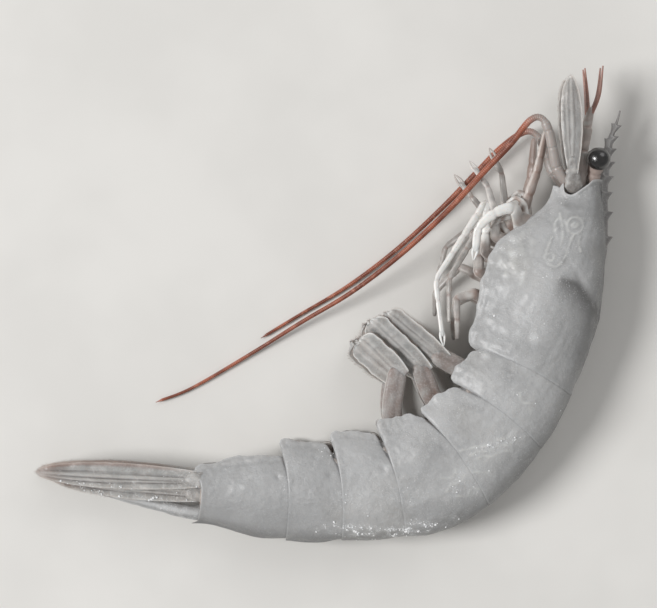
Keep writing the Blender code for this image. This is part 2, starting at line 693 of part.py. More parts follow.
clear_scene()
shrimp = collection("whiteleg_shrimp")
shell_finish = material("grey_shell", (0.38, 0.38, 0.37), 0.5)
fin_finish = material("translucent_fin", (0.30, 0.27, 0.25), 0.45)
limb_finish = material("pale_limb", (0.50, 0.49, 0.47), 0.5)
eye_finish = material("black_eye", (0.02, 0.02, 0.02), 0.2)
feeler_finish = material("red_feeler", (0.30, 0.09, 0.05), 0.5)

carapace()
for plate in range(len(SEGMENT_LENGTHS)):
    abdominal_plate(plate)
tail_fan()
legs()
for each_side, sign in SIDES.items():
    eye(each_side, sign)
    antennal_scale(each_side, sign)
    antennule(each_side, sign)
    feeler(f"antenna_{each_side}")
    for pair in SWIMMERETS:
        swimmeret(pair, each_side, sign)
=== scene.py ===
# A raw whiteleg shrimp, whole, lying on its right side and still dusted with frost.
# Places on the animal are given in mm as s, along the bent body axis from the orbit towards the tail,
# v, towards the back, and w, towards the animal's left, which is up here.
import math

import bpy
import numpy as np
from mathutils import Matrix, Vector


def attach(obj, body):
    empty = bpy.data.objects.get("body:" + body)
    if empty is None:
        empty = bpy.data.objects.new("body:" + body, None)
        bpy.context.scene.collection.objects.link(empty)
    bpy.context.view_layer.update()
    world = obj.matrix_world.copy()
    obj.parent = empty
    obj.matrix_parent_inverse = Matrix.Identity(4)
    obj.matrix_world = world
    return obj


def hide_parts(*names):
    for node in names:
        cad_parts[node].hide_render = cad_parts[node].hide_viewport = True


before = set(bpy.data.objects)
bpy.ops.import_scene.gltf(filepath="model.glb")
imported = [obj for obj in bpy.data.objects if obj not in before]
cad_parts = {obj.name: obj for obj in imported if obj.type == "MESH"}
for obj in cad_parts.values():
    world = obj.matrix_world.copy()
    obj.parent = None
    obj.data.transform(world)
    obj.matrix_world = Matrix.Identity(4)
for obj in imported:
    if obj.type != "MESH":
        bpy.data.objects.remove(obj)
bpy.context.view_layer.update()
mm = 0.001
sides = {"left": 1, "right": -1}
print("frame:", len(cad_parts), "solids")

# body sizes, the same as the solids': (station, size) pairs in mm that smooth curves run through
body = {
    "orbit": (52.04, 26.14),
    "carapace": 41.6,
    "segments": (10.4, 12.5, 14.0, 11.5, 11.1, 18.2),
    "headings": (9, 27, 38, 55, 76.5, 85.5, 88.5, 91),  # degrees from -Y towards -X, at each plate's end
    "gap": 0.5,
    "dorsal": (
        (0, 5.1), (12.5, 8.3), (31, 10.7), (53, 12.0), (71, 13.4), (84, 11.4), (103, 10.1), (119.3, 6.8),
    ),
    "halfWidth": ((0, 5.4), (8, 7.6), (22, 10), (36, 10.2), (60, 9.8), (78, 9.3), (101, 7.5), (119.3, 5.4)),
    "cheek": ((0, 5.2), (7, 6.6), (12.5, 11.4), (19, 15.0), (25, 15.4), (34, 14.3), (41.6, 13.4)),
    "belly": (
        (0, 4.2), (12.5, 9.4), (22, 12.8), (41.6, 10.2), (52, 8.4), (78.5, 7.2), (101, 5.6), (119.3, 4.0),
    ),
    "restLevel": ((-30, 9.7), (0, 9.7), (60, 9.4), (101, 7.5), (119.3, 6.2), (150, 6.5)),
    "cheekTuck": 0.42,
    "flankTuck": 0.27,
    "widestAt": -0.1,  # height of the widest place, as a share of the depth below the axis
    "roundness": 0.9,  # of the back in section, where 1 is an ellipse
    "sweep": (-0.9, 0.8),  # a plate's edge runs forward at mid flank and back at its lobe
}


def smoothCurve(pairs):
    # a function that runs smoothly through the pairs without overshooting them
    x, y = np.array(pairs, float).T
    step = np.diff(x)
    rise = np.diff(y) / step
    slope = np.zeros(len(x))
    for i in range(1, len(x) - 1):
        if rise[i - 1] * rise[i] > 0:
            a, b = 2 * step[i] + step[i - 1], step[i] + 2 * step[i - 1]
            slope[i] = (a + b) / (a / rise[i - 1] + b / rise[i])

    def value(at):
        at = np.clip(at, x[0], x[-1])
        k = np.clip(np.searchsorted(x, at, side="right") - 1, 0, len(step) - 1)
        t, h = (at - x[k]) / step[k], step[k]
        left = (2 * t**3 - 3 * t**2 + 1) * y[k] + (t**3 - 2 * t**2 + t) * h * slope[k]
        right = (3 * t**2 - 2 * t**3) * y[k + 1] + (t**3 - t**2) * h * slope[k + 1]
        return left + right

    return value


joints = np.cumsum((0, body["carapace"]) + body["segments"])
tail = joints[-1]
heading = smoothCurve(tuple(zip(joints, body["headings"])))
dorsalHeight, halfWidth, cheekDepth, bellyDepth, restLevel = (
    smoothCurve(body[key]) for key in ("dorsal", "halfWidth", "cheek", "belly", "restLevel"))

axisStep = 0.1
axisS = np.arange(-40, 180, axisStep)
axisTurn = np.radians(heading(axisS))
axisStart = int(np.searchsorted(axisS, 0))
axisX = -np.cumsum(np.sin(axisTurn)) * axisStep
axisY = -np.cumsum(np.cos(axisTurn)) * axisStep
axisX += body["orbit"][0] - axisX[axisStart]
axisY += body["orbit"][1] - axisY[axisStart]


def place(s, v, w):
    # world points, in metres, of body coordinates in mm; any of them may be arrays
    s, v, w = np.broadcast_arrays(np.asarray(s, float), v, w)
    turn = np.radians(heading(s))
    x = np.interp(s, axisS, axisX) + v * np.cos(turn)
    y = np.interp(s, axisS, axisY) - v * np.sin(turn)
    return np.stack((x, y, restLevel(s) + w), -1) * mm


def placeFrom(station, local):
    # world points of a grid in mm that is measured tailward, upward and leftward from one station
    turn = math.radians(float(heading(station)))
    axes = ((-math.sin(turn), -math.cos(turn), 0), (math.cos(turn), -math.sin(turn), 0), (0, 0, 1))
    return place(station, 0, 0) + local @ np.array(axes) * mm


def layDown(points, softness=0.15 * mm):
    # nothing of the shell goes below the ground; the flat spot that it rests on has a soft border
    lying = points.copy()
    z = lying[..., 2]
    lying[..., 2] = 0.5 * (z + np.sqrt(z * z + softness**2)) - 0.25 * softness
    return np.maximum(lying, (-1, -1, 0))


def unit(vectors):
    return vectors / np.maximum(np.linalg.norm(vectors, axis=-1, keepdims=True), 1e-12)


def bell(x, width):
    return np.exp(-((x / width) ** 2))


def bands(distance, table):
    # raised and sunk bands, each (height, distance at its middle, width)
    return sum(height * bell(distance - middle, width) for height, middle, width in table)


def ramp(x, low, high):
    t = np.clip((x - low) / (high - low), 0, 1)
    return t * t * (3 - 2 * t)


def fullTurn(count):
    return np.linspace(0, 2 * math.pi, count, endpoint=False)[None]


def relief(points, size, seed, waves=14):
    # smooth random relief, mostly between -1 and 1, over points in metres; size is the bumps' spacing in mm
    draw = np.random.default_rng(seed)
    rates = 2 * math.pi / (size * mm * draw.uniform(0.7, 1.6, waves))
    total = np.zeros(points.shape[:-1])
    for way, rate, phase in zip(unit(draw.normal(size=(waves, 3))), rates, draw.uniform(0, 6.3, waves)):
        total += np.sin(points @ way * rate + phase)
    return total / math.sqrt(waves)


def lineDistance(s, v, line):
    # distance in mm from each (s, v) to a bent line of (s, v) points
    nearest = np.full(s.shape, 1e9)
    for (s0, v0), (s1, v1) in zip(line[:-1], line[1:]):
        ds, dv = s1 - s0, v1 - v0
        t = np.clip(((s - s0) * ds + (v - v0) * dv) / (ds * ds + dv * dv), 0, 1)
        nearest = np.minimum(nearest, np.hypot(s - s0 - t * ds, v - v0 - t * dv))
    return nearest


def strokeDistance(s, v, lines, count=30, wobble=0.0):
    # the same to the nearest of several smoothed lines; wobble makes the hand unsteady
    return np.min([np.abs(lineDistance(s, v, softLine(line, count)) + wobble) for line in lines], axis=0)


def nearestOf(at, stops):
    return np.min([np.abs(at - stop) for stop in stops], axis=0)


def resample(points, count):
    run = np.concatenate([[0], np.cumsum(np.linalg.norm(np.diff(points, axis=0), axis=1))])
    even = np.linspace(0, run[-1], count)
    return np.stack([np.interp(even, run, points[:, k]) for k in range(points.shape[1])], -1)


def softLine(points, count):
    # evenly spaced points on a smooth curve through the given ones
    points = np.array(points, float)
    padded = np.concatenate([[2 * points[0] - points[1]], points, [2 * points[-1] - points[-2]]])
    t = np.linspace(0, 1, 16, endpoint=False)[:, None]
    dense = []
    for a, b, c, d in zip(padded[:-3], padded[1:-2], padded[2:-1], padded[3:]):
        square, cube = 2 * a - 5 * b + 4 * c - d, 3 * b - a - 3 * c + d
        dense.append(0.5 * (2 * b + (c - a) * t + square * t**2 + cube * t**3))
    return resample(np.concatenate(dense + [points[-1:]]), count)


class Skin:
    # collects closed shapes that become one mesh, with one number per vertex for each named mark
    def __init__(self):
        self.vertices, self.faces, self.finishes, self.marks, self.count = [], [], [], {}, 0

    def add(self, vertices, quads, trios, marks, finish=0):
        corners = np.concatenate([quads[:, :3], quads[:, [0, 2, 3]], trios])
        a, b, c = (vertices[corners[:, k]] for k in range(3))
        order = -1 if np.einsum("ij,ij->", a, np.cross(b, c)) < 0 else 1  # an inside-out shape is turned
        for part in (quads, trios):
            self.faces += [tuple(face) for face in (part[:, ::order] + self.count).tolist()]
        self.finishes += list(finish) if np.ndim(finish) else [finish] * (len(quads) + len(trios))
        self.vertices.append(vertices)
        for name in sorted(set(self.marks) | set(marks)):
            held = self.marks.setdefault(name, [np.zeros(self.count)])
            held.append(np.broadcast_to(np.asarray(marks.get(name, 0.0), float), len(vertices)))
        self.count += len(vertices)

    def addRings(self, rings, marks=None, finish=0):
        # a tube of equal rings, closed by a fan at each end; finish may have a number for each gap
        rows, around = rings.shape[:2]
        vertices = np.concatenate([rings.reshape(-1, 3), [rings[0].mean(0), rings[-1].mean(0)]])
        n = np.arange(around)
        ahead, last = (n + 1) % around, (rows - 1) * around
        i = np.arange(rows - 1)[:, None] * around
        quads = np.stack((i + n, i + ahead, i + around + ahead, i + around + n), -1).reshape(-1, 4)
        first = np.stack((np.full(around, rows * around), ahead, n), -1)
        final = np.stack((np.full(around, rows * around + 1), last + n, last + ahead), -1)
        full = {}
        for name, value in (marks or {}).items():
            value = np.broadcast_to(np.asarray(value, float), (rows, around))
            full[name] = np.concatenate([value.ravel(), [value[0].mean(), value[-1].mean()]])
        if np.ndim(finish):
            finish = [*np.repeat(finish, around), *[finish[0]] * around, *[finish[-1]] * around]
        self.add(vertices, quads, np.concatenate([first, final]), full, finish)

    def addSheet(self, top, bottom, marks=None, bulge=0.35):
        # a closed solid between two grids, whose border runs round through a middle line
        rows, columns = top.shape[:2]
        size = rows * columns
        index = np.arange(size).reshape(rows, columns)
        border = np.concatenate([index[0, :-1], index[:-1, -1], index[-1, :0:-1], index[:0:-1, 0]])
        innerRow, innerColumn = (np.clip(np.arange(n), 1, n - 2) for n in (rows, columns))
        inward = (innerRow[:, None] * columns + innerColumn).ravel()[border]
        top, bottom = top.reshape(-1, 3), bottom.reshape(-1, 3)
        middle = 0.5 * (top + bottom)
        outward = unit(middle[border] - middle[inward])
        thickness = np.linalg.norm(top - bottom, axis=1)[border, None]
        vertices = np.concatenate([top, bottom, middle[border] + outward * thickness * bulge])
        quads = np.stack((index[:-1, :-1], index[:-1, 1:], index[1:, 1:], index[1:, :-1]), -1).reshape(-1, 4)
        around = 2 * size + np.arange(len(border))
        ahead, beyond = np.roll(around, -1), np.roll(border, -1)
        upper = np.stack((border, around, ahead, beyond), -1)
        lower = np.stack((around, size + border, size + beyond, ahead), -1)
        full = {"inside": np.concatenate([np.zeros(size), np.ones(size), np.full(len(border), 0.25)])}
        for name, value in (marks or {}).items():
            value = np.broadcast_to(np.asarray(value, float), (rows, columns)).ravel()
            full[name] = np.concatenate([value, value, value[border]])
        faces = np.concatenate([quads, size + quads[:, ::-1], upper, lower])
        self.add(vertices, faces, np.zeros((0, 3), int), full)

    def build(self, name, materials, replaced=()):
        mesh = bpy.data.meshes.new(name)
        mesh.from_pydata(np.concatenate(self.vertices), [], self.faces)
        for material in materials:
            mesh.materials.append(material)
        mesh.polygons.foreach_set("material_index", np.array(self.finishes, np.int32))
        for mark, values in self.marks.items():
            storeMark(mesh, mark, np.concatenate(values))
        mesh.shade_smooth()
        return settle(name, mesh, replaced)


def storeMark(mesh, name, values):
    kind, key = ("FLOAT_VECTOR", "vector") if np.ndim(values) == 2 else ("FLOAT", "value")
    stored = mesh.attributes.new(name, kind, "POINT")
    stored.data.foreach_set(key, np.asarray(values, np.float32).ravel())


def linked(name, data):
    made = bpy.data.objects.new(name, data)
    bpy.context.scene.collection.objects.link(made)
    return made


def settle(name, mesh, replaced):
    piece = linked(name, mesh)
    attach(piece, "root")
    if replaced:
        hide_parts(*replaced)
    return piece


def toLinear(hexColour):
    channels = [int(hexColour[i:i + 2], 16) / 255 for i in (1, 3, 5)]
    return (*(c / 12.92 if c <= 0.04045 else ((c + 0.055) / 1.055) ** 2.4 for c in channels), 1)


def addNode(tree, kind, inputs=None, **settings):
    # an input may be a value, a socket, or a node whose first output it takes
    made = tree.nodes.new(kind)
    for key, value in settings.items():
        setattr(made, key, value)
    for key, value in (inputs or {}).items():
        if isinstance(value, bpy.types.Node):
            value = value.outputs[0]
        if isinstance(value, bpy.types.NodeSocket):
            tree.links.new(value, made.inputs[key])
        else:
            made.inputs[key].default_value = value
    return made


def newMaterial(name):
    material = bpy.data.materials.new(name)
    material.use_nodes = True
    tree = material.node_tree
    where = addNode(tree, "ShaderNodeTexCoord").outputs["Object"]
    return material, tree, tree.nodes["Principled BSDF"], where


def cells(sizeMm):
    return 1000 / sizeMm  # a texture's scale, for a pattern of that size in mm on metre coordinates


def clouds(tree, where, sizeMm, low, high, detail=3, roughness=0.55):
    # patches of that size, from 0 to 1; low and high are the noise values where they begin and are full
    noise = addNode(tree, "ShaderNodeTexNoise", {
        "Vector": where, "Scale": cells(sizeMm), "Detail": detail, "Roughness": roughness,
    })
    return addNode(tree, "ShaderNodeMapRange", {"Value": noise, "From Min": low, "From Max": high},
                   interpolation_type="SMOOTHSTEP")


def spots(tree, where, sizeMm, low, high, feature="F1"):
    # one spot, or the lines between, for each cell of that size; low and high are distances as in clouds
    cell = addNode(tree, "ShaderNodeTexVoronoi", {"Vector": where, "Scale": cells(sizeMm)}, feature=feature)
    return addNode(tree, "ShaderNodeMapRange", {"Value": cell, "From Min": low, "From Max": high})


def masked(tree, where, *factors):
    # the product of numbers, nodes, marks by name, and clouds as (size in mm, low, high, ...)
    total = None
    for factor in factors:
        if isinstance(factor, str):
            factor = addNode(tree, "ShaderNodeAttribute", attribute_name=factor).outputs["Fac"]
        elif isinstance(factor, tuple):
            factor = clouds(tree, where, *factor)
        if total is not None:
            factor = addNode(tree, "ShaderNodeMath", {0: total, 1: factor}, operation="MULTIPLY")
        total = factor
    return total


def paint(tree, where, shader, base, layers):
    # colours laid over one another, each followed by what masks it
    under = toLinear(base)
    for over, *factors in layers:
        inputs = {0: masked(tree, where, *factors), 6: under, 7: toLinear(over)}
        under = addNode(tree, "ShaderNodeMix", inputs, data_type="RGBA").outputs[2]
    tree.links.new(under, shader.inputs["Base Color"])


def surface(tree, where, shader, layers, values, rough=None):
    # relief from (height, distance in mm) layers, the first one lowest, where a height may be a noise's
    # (size in mm, detail); rough is a patch size in mm and the two roughness values that it runs between
    normal = None
    for height, distance in layers:
        if isinstance(height, tuple):
            size, detail = height
            noise = {"Vector": where, "Scale": cells(size), "Detail": detail}
            height = addNode(tree, "ShaderNodeTexNoise", noise)
        inputs = {"Strength": 1.0, "Distance": distance * mm, "Height": height}
        normal = addNode(tree, "ShaderNodeBump", inputs | ({"Normal": normal} if normal else {}))
    if normal:
        tree.links.new(normal.outputs["Normal"], shader.inputs["Normal"])
    if rough:
        size, low, high = rough
        damp = addNode(tree, "ShaderNodeMapRange", {
            "Value": clouds(tree, where, size, 0.35, 0.65), "To Min": low, "To Max": high,
        })
        tree.links.new(damp.outputs["Result"], shader.inputs["Roughness"])
    for name, value in values.items():
        shader.inputs[name].default_value = value


def cuticleMaterial():
    # raw cuticle, thin chitin over chilled grey flesh: soft matte grey, clouded, with a bloom of fine frost,
    # painted shade along the back and over the smooth tail plates, a painted sheen on the mid flank, paler
    # on its thin free edges, and a few painted highlights
    material, tree, shader, where = newMaterial("frostedCuticle")
    calm = masked(tree, where, "calm")
    lively = addNode(tree, "ShaderNodeMath", {0: calm, 1: -0.7, 2: 1}, operation="MULTIPLY_ADD")
    bloom = masked(tree, where, (0.3, 0.54, 0.72, 2), (7, 0.36, 0.6), lively)
    crust = masked(tree, where, "frost", (0.45, 0.53, 0.66, 3, 0.6))
    paint(tree, where, shader, "#9e9e9e", (
        # painted shade: the smooth tail plates are painted a darker grey
        # painted sheen: a broad pale patch on the middle of the flank
        ("#b4b4b4", (13, 0.34, 0.66, 2)), ("#9a9a9a", "calm", 0.8), ("#c8c8c7", "film", 0.5),
        ("#a8a49d", (18, 0.52, 0.74), 0.3), ("#c4c4c4", (6, 0.48, 0.7, 2), 0.25, lively),
        ("#c4c4c4", (0.9, 0.46, 0.7, 5, 0.65), 0.25, lively),
        ("#6f6b69", spots(tree, where, 0.75, 0.22, 0.08), (5, 0.5, 0.68), 0.35),
        # painted shade along the back; darker where the stomach shows through, and painted shade in pits,
        # grooves and furrows
        ("#676767", "keel", 0.72), ("#5b5a59", "stain", 0.85), ("#938c88", "inside", 0.7),
        # the pale rim includes pale spots, two of them painted highlights
        ("#d3d3cf", "wrinkle", 0.6), ("#dcdcdb", "rim", 0.6), ("#e6e6e6", bloom, 0.4),
        ("#d0d0d0", "frost", 0.45), ("#f6f6f6", crust),
    ))
    surface(tree, where, shader, (((0.9, 4), 0.13), ((0.22, 3), 0.05), (bloom, 0.05), (crust, 0.12)), {
        "IOR": 1.5, "Subsurface Weight": 0.25, "Subsurface Radius": (1.0, 0.88, 0.8),
        "Subsurface Scale": 1.2 * mm, "Coat Weight": 0.2, "Coat Roughness": 0.22,
    }, (2.5, 0.38, 0.56))
    return material


def finMaterial():
    # thin wet chitin of the fins and paddles: papery beige grey with faint ribs, brown towards roots and
    # tips, with pale margins and a damp gloss; painted shade in its folds and dents and over the foremost
    # paddles and the scales, and painted white glints along some margins
    material, tree, shader, where = newMaterial("dampFinChitin")
    # the frost mark also brings painted white glints, painted highlights, along some margins
    crust = masked(tree, where, "frost", (0.45, 0.5, 0.64, 3, 0.6))
    paint(tree, where, shader, "#9a9a98", (
        ("#b2b1af", (4, 0.36, 0.64, 4)), ("#978d85", (7, 0.44, 0.68), 0.4), ("#7b6258", "brown", 0.85),
        # painted shade: the foremost paddles and the scales are painted darker grey
        ("#5f4a44", spots(tree, where, 0.5, 0.3, 0.1), (3, 0.45, 0.65), 0.45), ("#6f6d6b", "dim", 0.8),
        # painted shade in folds, gutters and crumpled dents
        ("#cfccc8", "rib", 0.5), ("#4f4744", "fold", 0.7), ("#e3e0db", "rim", 0.8), ("#f4f4f4", crust),
    ))
    surface(tree, where, shader, (((0.35, 4), 0.09), (crust, 0.1)), {
        "IOR": 1.5, "Subsurface Weight": 0.35, "Subsurface Radius": (1.0, 0.8, 0.7),
        "Subsurface Scale": 0.8 * mm, "Coat Weight": 0.12, "Coat Roughness": 0.2,
    }, (1.8, 0.34, 0.56))
    return material


def limbMaterial():
    # horny chitin of the legs, feelers' stems and mouth parts: pale and slightly clear, pinkish brown at the
    # joints, bright white where it has dried
    material, tree, shader, where = newMaterial("paleLimbChitin")
    paint(tree, where, shader, "#9b9692", (
        ("#b9b6b2", (3, 0.36, 0.64, 4)), ("#a08a80", "pink", 0.9), ("#f3f2ef", "white", 0.95),
        ("#7d6258", spots(tree, where, 0.45, 0.3, 0.12), (2.5, 0.5, 0.66), 0.35),
        ("#86675b", "joint", 0.5), ("#e0dcd7", "rim", 0.7),
    ))
    surface(tree, where, shader, (((0.3, 3), 0.05),), {
        "IOR": 1.5, "Subsurface Weight": 0.3, "Subsurface Radius": (1.0, 0.85, 0.75),
        "Subsurface Scale": 0.6 * mm, "Coat Weight": 0.15, "Coat Roughness": 0.2,
    }, (1.2, 0.3, 0.48))
    return material


def fleshMaterial():
    # raw flesh and the soft skin under the shell: clear pinkish grey, moist, with fine brown veins
    material, tree, shader, where = newMaterial("rawFlesh")
    veins = spots(tree, where, 2.2, 0.09, 0.0, "DISTANCE_TO_EDGE")
    paint(tree, where, shader, "#9b928c", (("#b6afa9", (3.5, 0.36, 0.64, 4)), ("#6a5148", veins, 0.3)))
    surface(tree, where, shader, (((0.5, 4), 0.12),), {
        "Roughness": 0.34, "IOR": 1.4, "Subsurface Weight": 0.4, "Subsurface Radius": (1.0, 0.7, 0.55),
        "Subsurface Scale": 1.5 * mm, "Coat Weight": 0.2, "Coat Roughness": 0.15,
    })
    return material


def feelerMaterial():
    # ringed horn of the long feelers: brownish red, salmon where light comes through, darker in the grooves
    material, tree, shader, where = newMaterial("ringedRedHorn")
    paint(tree, where, shader, "#7d4533", (
        ("#b0684f", (5, 0.35, 0.65, 4)), ("#c98a74", (1.2, 0.5, 0.7, 4), 0.6), ("#55291a", "groove", 0.4),
        ("#a59d98", "stem"),
    ))
    surface(tree, where, shader, (((0.25, 3), 0.04),), {
        "Roughness": 0.36, "IOR": 1.5, "Subsurface Weight": 0.25, "Subsurface Radius": (1.0, 0.45, 0.3),
        "Subsurface Scale": 0.5 * mm, "Coat Weight": 0.15, "Coat Roughness": 0.2,
    })
    return material


def corneaMaterial():
    # compound eye: jet black and glossy under a fine net of facets, four times coarser than real to show
    material, tree, shader, where = newMaterial("blackCornea")
    facets = addNode(tree, "ShaderNodeTexVoronoi", {"Vector": where, "Scale": cells(0.16)},
                     feature="DISTANCE_TO_EDGE")
    paint(tree, where, shader, "#0c0b0b", (("#1f1c1b", (1.5, 0.4, 0.65)),))
    surface(tree, where, shader, ((facets, 0.03),), {
        "Roughness": 0.16, "IOR": 1.5, "Coat Weight": 1.0, "Coat Roughness": 0.05,
    })
    return material


def plainMaterial(name, base, patches, values):
    material, tree, shader, where = newMaterial(name)
    paint(tree, where, shader, base, (patches,))
    surface(tree, where, shader, (), values)
    return material


cuticle, finChitin, limbChitin, flesh = cuticleMaterial(), finMaterial(), limbMaterial(), fleshMaterial()
redHorn, cornea = feelerMaterial(), corneaMaterial()
# ice: small white crystals, half clear, glinting
ice = plainMaterial("iceCrystal", "#e6e8e9", ("#fbfbfb", (1.0, 0.4, 0.6)), {
    "Roughness": 0.2, "IOR": 1.31, "Subsurface Weight": 0.5, "Subsurface Radius": (1.0, 1.0, 1.0),
    "Subsurface Scale": 0.2 * mm, "Specular IOR Level": 0.8,
})
# fine hairs of the fins and mouth: thin horn, brownish and half clear
bristle = plainMaterial("bristleHorn", "#8a746a", ("#b8a89e", (2, 0.4, 0.6)), {"Roughness": 0.4, "IOR": 1.5})
print("materials:", len(bpy.data.materials))


frost = {
    # patches as (s, v, reach along s, reach along v, amount), and single pale spots as (s, v, radius), of
    # which the first two are painted highlights
    "patches": (
        (91, 8.0, 4, 1.0, 0.8), (85.7, 9.3, 4, 1.1, 1.0), (80, 10.2, 4, 1.1, 1.1),
        (75.3, 11.3, 3.5, 1.0, 0.9), (71, 11.8, 2, 1.0, 0.5), (64.5, 8.4, 1.8, 1.2, 0.7),
        (66, 3.6, 1.5, 1.5, 0.6), (67.5, 6.3, 2, 1.5, 0.45), (54.3, 5.8, 2, 1.4, 0.7),
        (58, 3.2, 2.6, 1.2, 0.8), (62, 0.8, 1.8, 0.9, 0.4), (46.5, 2.5, 2.5, 3.0, 0.3),
        (77.6, 3.5, 5, 2, 0.25), (89, 3.2, 6, 2, 0.2), (18.1, -13.6, 1.8, 0.8, 0.6), (30, -4, 7, 4, 0.12),
    ),
    "spots": ((34.7, -1.6, 0.9), (42.8, -9.0, 0.75), (15.5, -11.3, 1.0), (18.5, -10.7, 0.9)),
    "sprinkled": 0.22,  # the thin frost anywhere else
    "film": (54, 24, 4, 4.5),  # station and reach, height and reach of the broad pale patch on the mid flank, a painted sheen
    "density": 1.2e7,  # crystals on a square metre where the mark is full
    "grain": (0.035, 0.24),  # radius of the crystals
    "lowest": 0.6,  # height above the ground from which there are any
}


def spotMark(s, v, w):
    return sum(bell(np.hypot(s - s0, v - v0), radius) for s0, v0, radius in frost["spots"]) * (w > 0)


def frostMark(s, v, w, points, seed):
    # patches on the side that lies up, a thin sprinkling anywhere else, both broken up
    patches = sum(amount * np.exp(-(((s - s0) / rs) ** 2) - ((v - v0) / rv) ** 2)
                  for s0, v0, rs, rv, amount in frost["patches"])
    sprinkled = frost["sprinkled"] * ramp(relief(points, 7, seed + 5), 0.3, 1.5)
    broken = ramp(relief(points, 2.2, seed), -1.0, 0.8)
    return np.clip((patches * ramp(w, -3, 1) + sprinkled) * broken + 0.5 * spotMark(s, v, w), 0, 1.2)


def paintedSheenMark(s, v):
    station, reach, height, spread = frost["film"]
    return bell(s - station, reach) * bell(v - height, spread)


shell = {
    "wall": 0.5,  # thickness of a plate, thinner at its free edges
    "edgeWall": 0.055,
    "thinning": 1.6,  # how far in from an edge the wall is full
    "underlap": 1.8,  # how far a plate reaches in under the one before it
    "underdip": 0.55,
    "overhang": 0.35,
    "flare": 0.032,
    "calm": (74, 99),  # stations between which the shell turns smooth
    "columns": 90,  # on each side of the back
    "rowStep": 0.3,
    "lumps": ((13, 0.18), (5, 0.09), (2.1, 0.032), (1.0, 0.012)),  # (size, height) of its unevenness
    "ragged": ((5.5, 0.3), (2.4, 0.14), (0.9, 0.04)),  # the same for its lower edge
    "raggedReach": 1.2,
    "farLift": 0.75,  # how much shorter the lobes are on the side it lies on
}


def halfOutline(dorsal, ventral, width, tuck, shares, count):
    # (v, w) points up the left flank, at shares of the drop below its widest place, and on over the back
    widest = body["widestAt"] * ventral
    turn = np.linspace(0.5 * math.pi, 0, count)
    flank = np.stack((widest - (ventral + widest) * shares, width * (1 - tuck * shares**2)), -1)
    power = body["roundness"]
    back = np.stack((widest + (dorsal - widest) * np.cos(turn) ** power, width * np.sin(turn) ** power), -1)
    return np.concatenate([flank, back])


def shellGrid(stations, dorsal, ventral, width, tuck, count):
    # a ring at every station, from the left lobe's edge over the back to the right one, with outward
    # directions and the distance from the nearer lobe's edge
    rings = []
    for d, c, h in zip(dorsal, ventral, width):
        half = resample(halfOutline(d, c, h, tuck, np.linspace(1, 0, 80)[:-1], 160), count)
        rings.append(np.concatenate([half, (half * (1, -1))[-2::-1]]))
    rings = np.stack(rings)
    tangent = np.gradient(rings, axis=1)
    outward = unit(np.stack((-tangent[..., 1], tangent[..., 0]), -1))
    step = np.linalg.norm(np.diff(rings, axis=1), axis=2)
    run = np.concatenate([np.zeros((len(stations), 1)), np.cumsum(step, axis=1)], axis=1)
    return rings, outward, np.minimum(run, run[:, -1:] - run)


def roundedCorner(toEnd, long, high):
    # what a quarter of an ellipse takes off an edge near its end
    return high * (1 - np.sqrt(1 - np.clip(1 - toEnd / long, 0, 1) ** 2))


def sweepOf(v, dorsal, ventral):
    share = (v / np.where(v > 0, dorsal, ventral)) ** 2
    return body["sweep"][0] * (1 - share) + np.where(v < 0, body["sweep"][1] * share, 0)


def sheetFrom(skin, s, v, w, outward, edge, marks):
    # a plate's two faces: the outer one in body coordinates and the inner one a wall's thickness under it
    wall = shell["edgeWall"] + (shell["wall"] - shell["edgeWall"]) * ramp(edge, 0, shell["thinning"])
    top = layDown(place(s, v, w))
    bottom = layDown(place(s, v - outward[..., 0] * wall, w - outward[..., 1] * wall))
    skin.addSheet(top, bottom, marks)


def calmness(s):
    return ramp(s, *shell["calm"])  # the last plates are the smoothest


def unevenness(s, points):
    # runs on from plate to plate, so that their free edges lie close
    lumps = sum(height * relief(points, size, 10 + i) for i, (size, height) in enumerate(shell["lumps"]))
    return lumps * (1 - 0.5 * calmness(s))


def raggedEdge(s, w, edge, seed, amount=1.0):
    # lifts and drops the lower edges a little, each side in its own way
    where = np.stack((s * mm, np.sign(w) * 7.0 * mm, 0 * s), -1)
    lift = sum(height * relief(where, size, seed + i) for i, (size, height) in enumerate(shell["ragged"]))
    return (amount * lift + shell["farLift"] * (w < 0)) * np.exp(-edge / shell["raggedReach"])


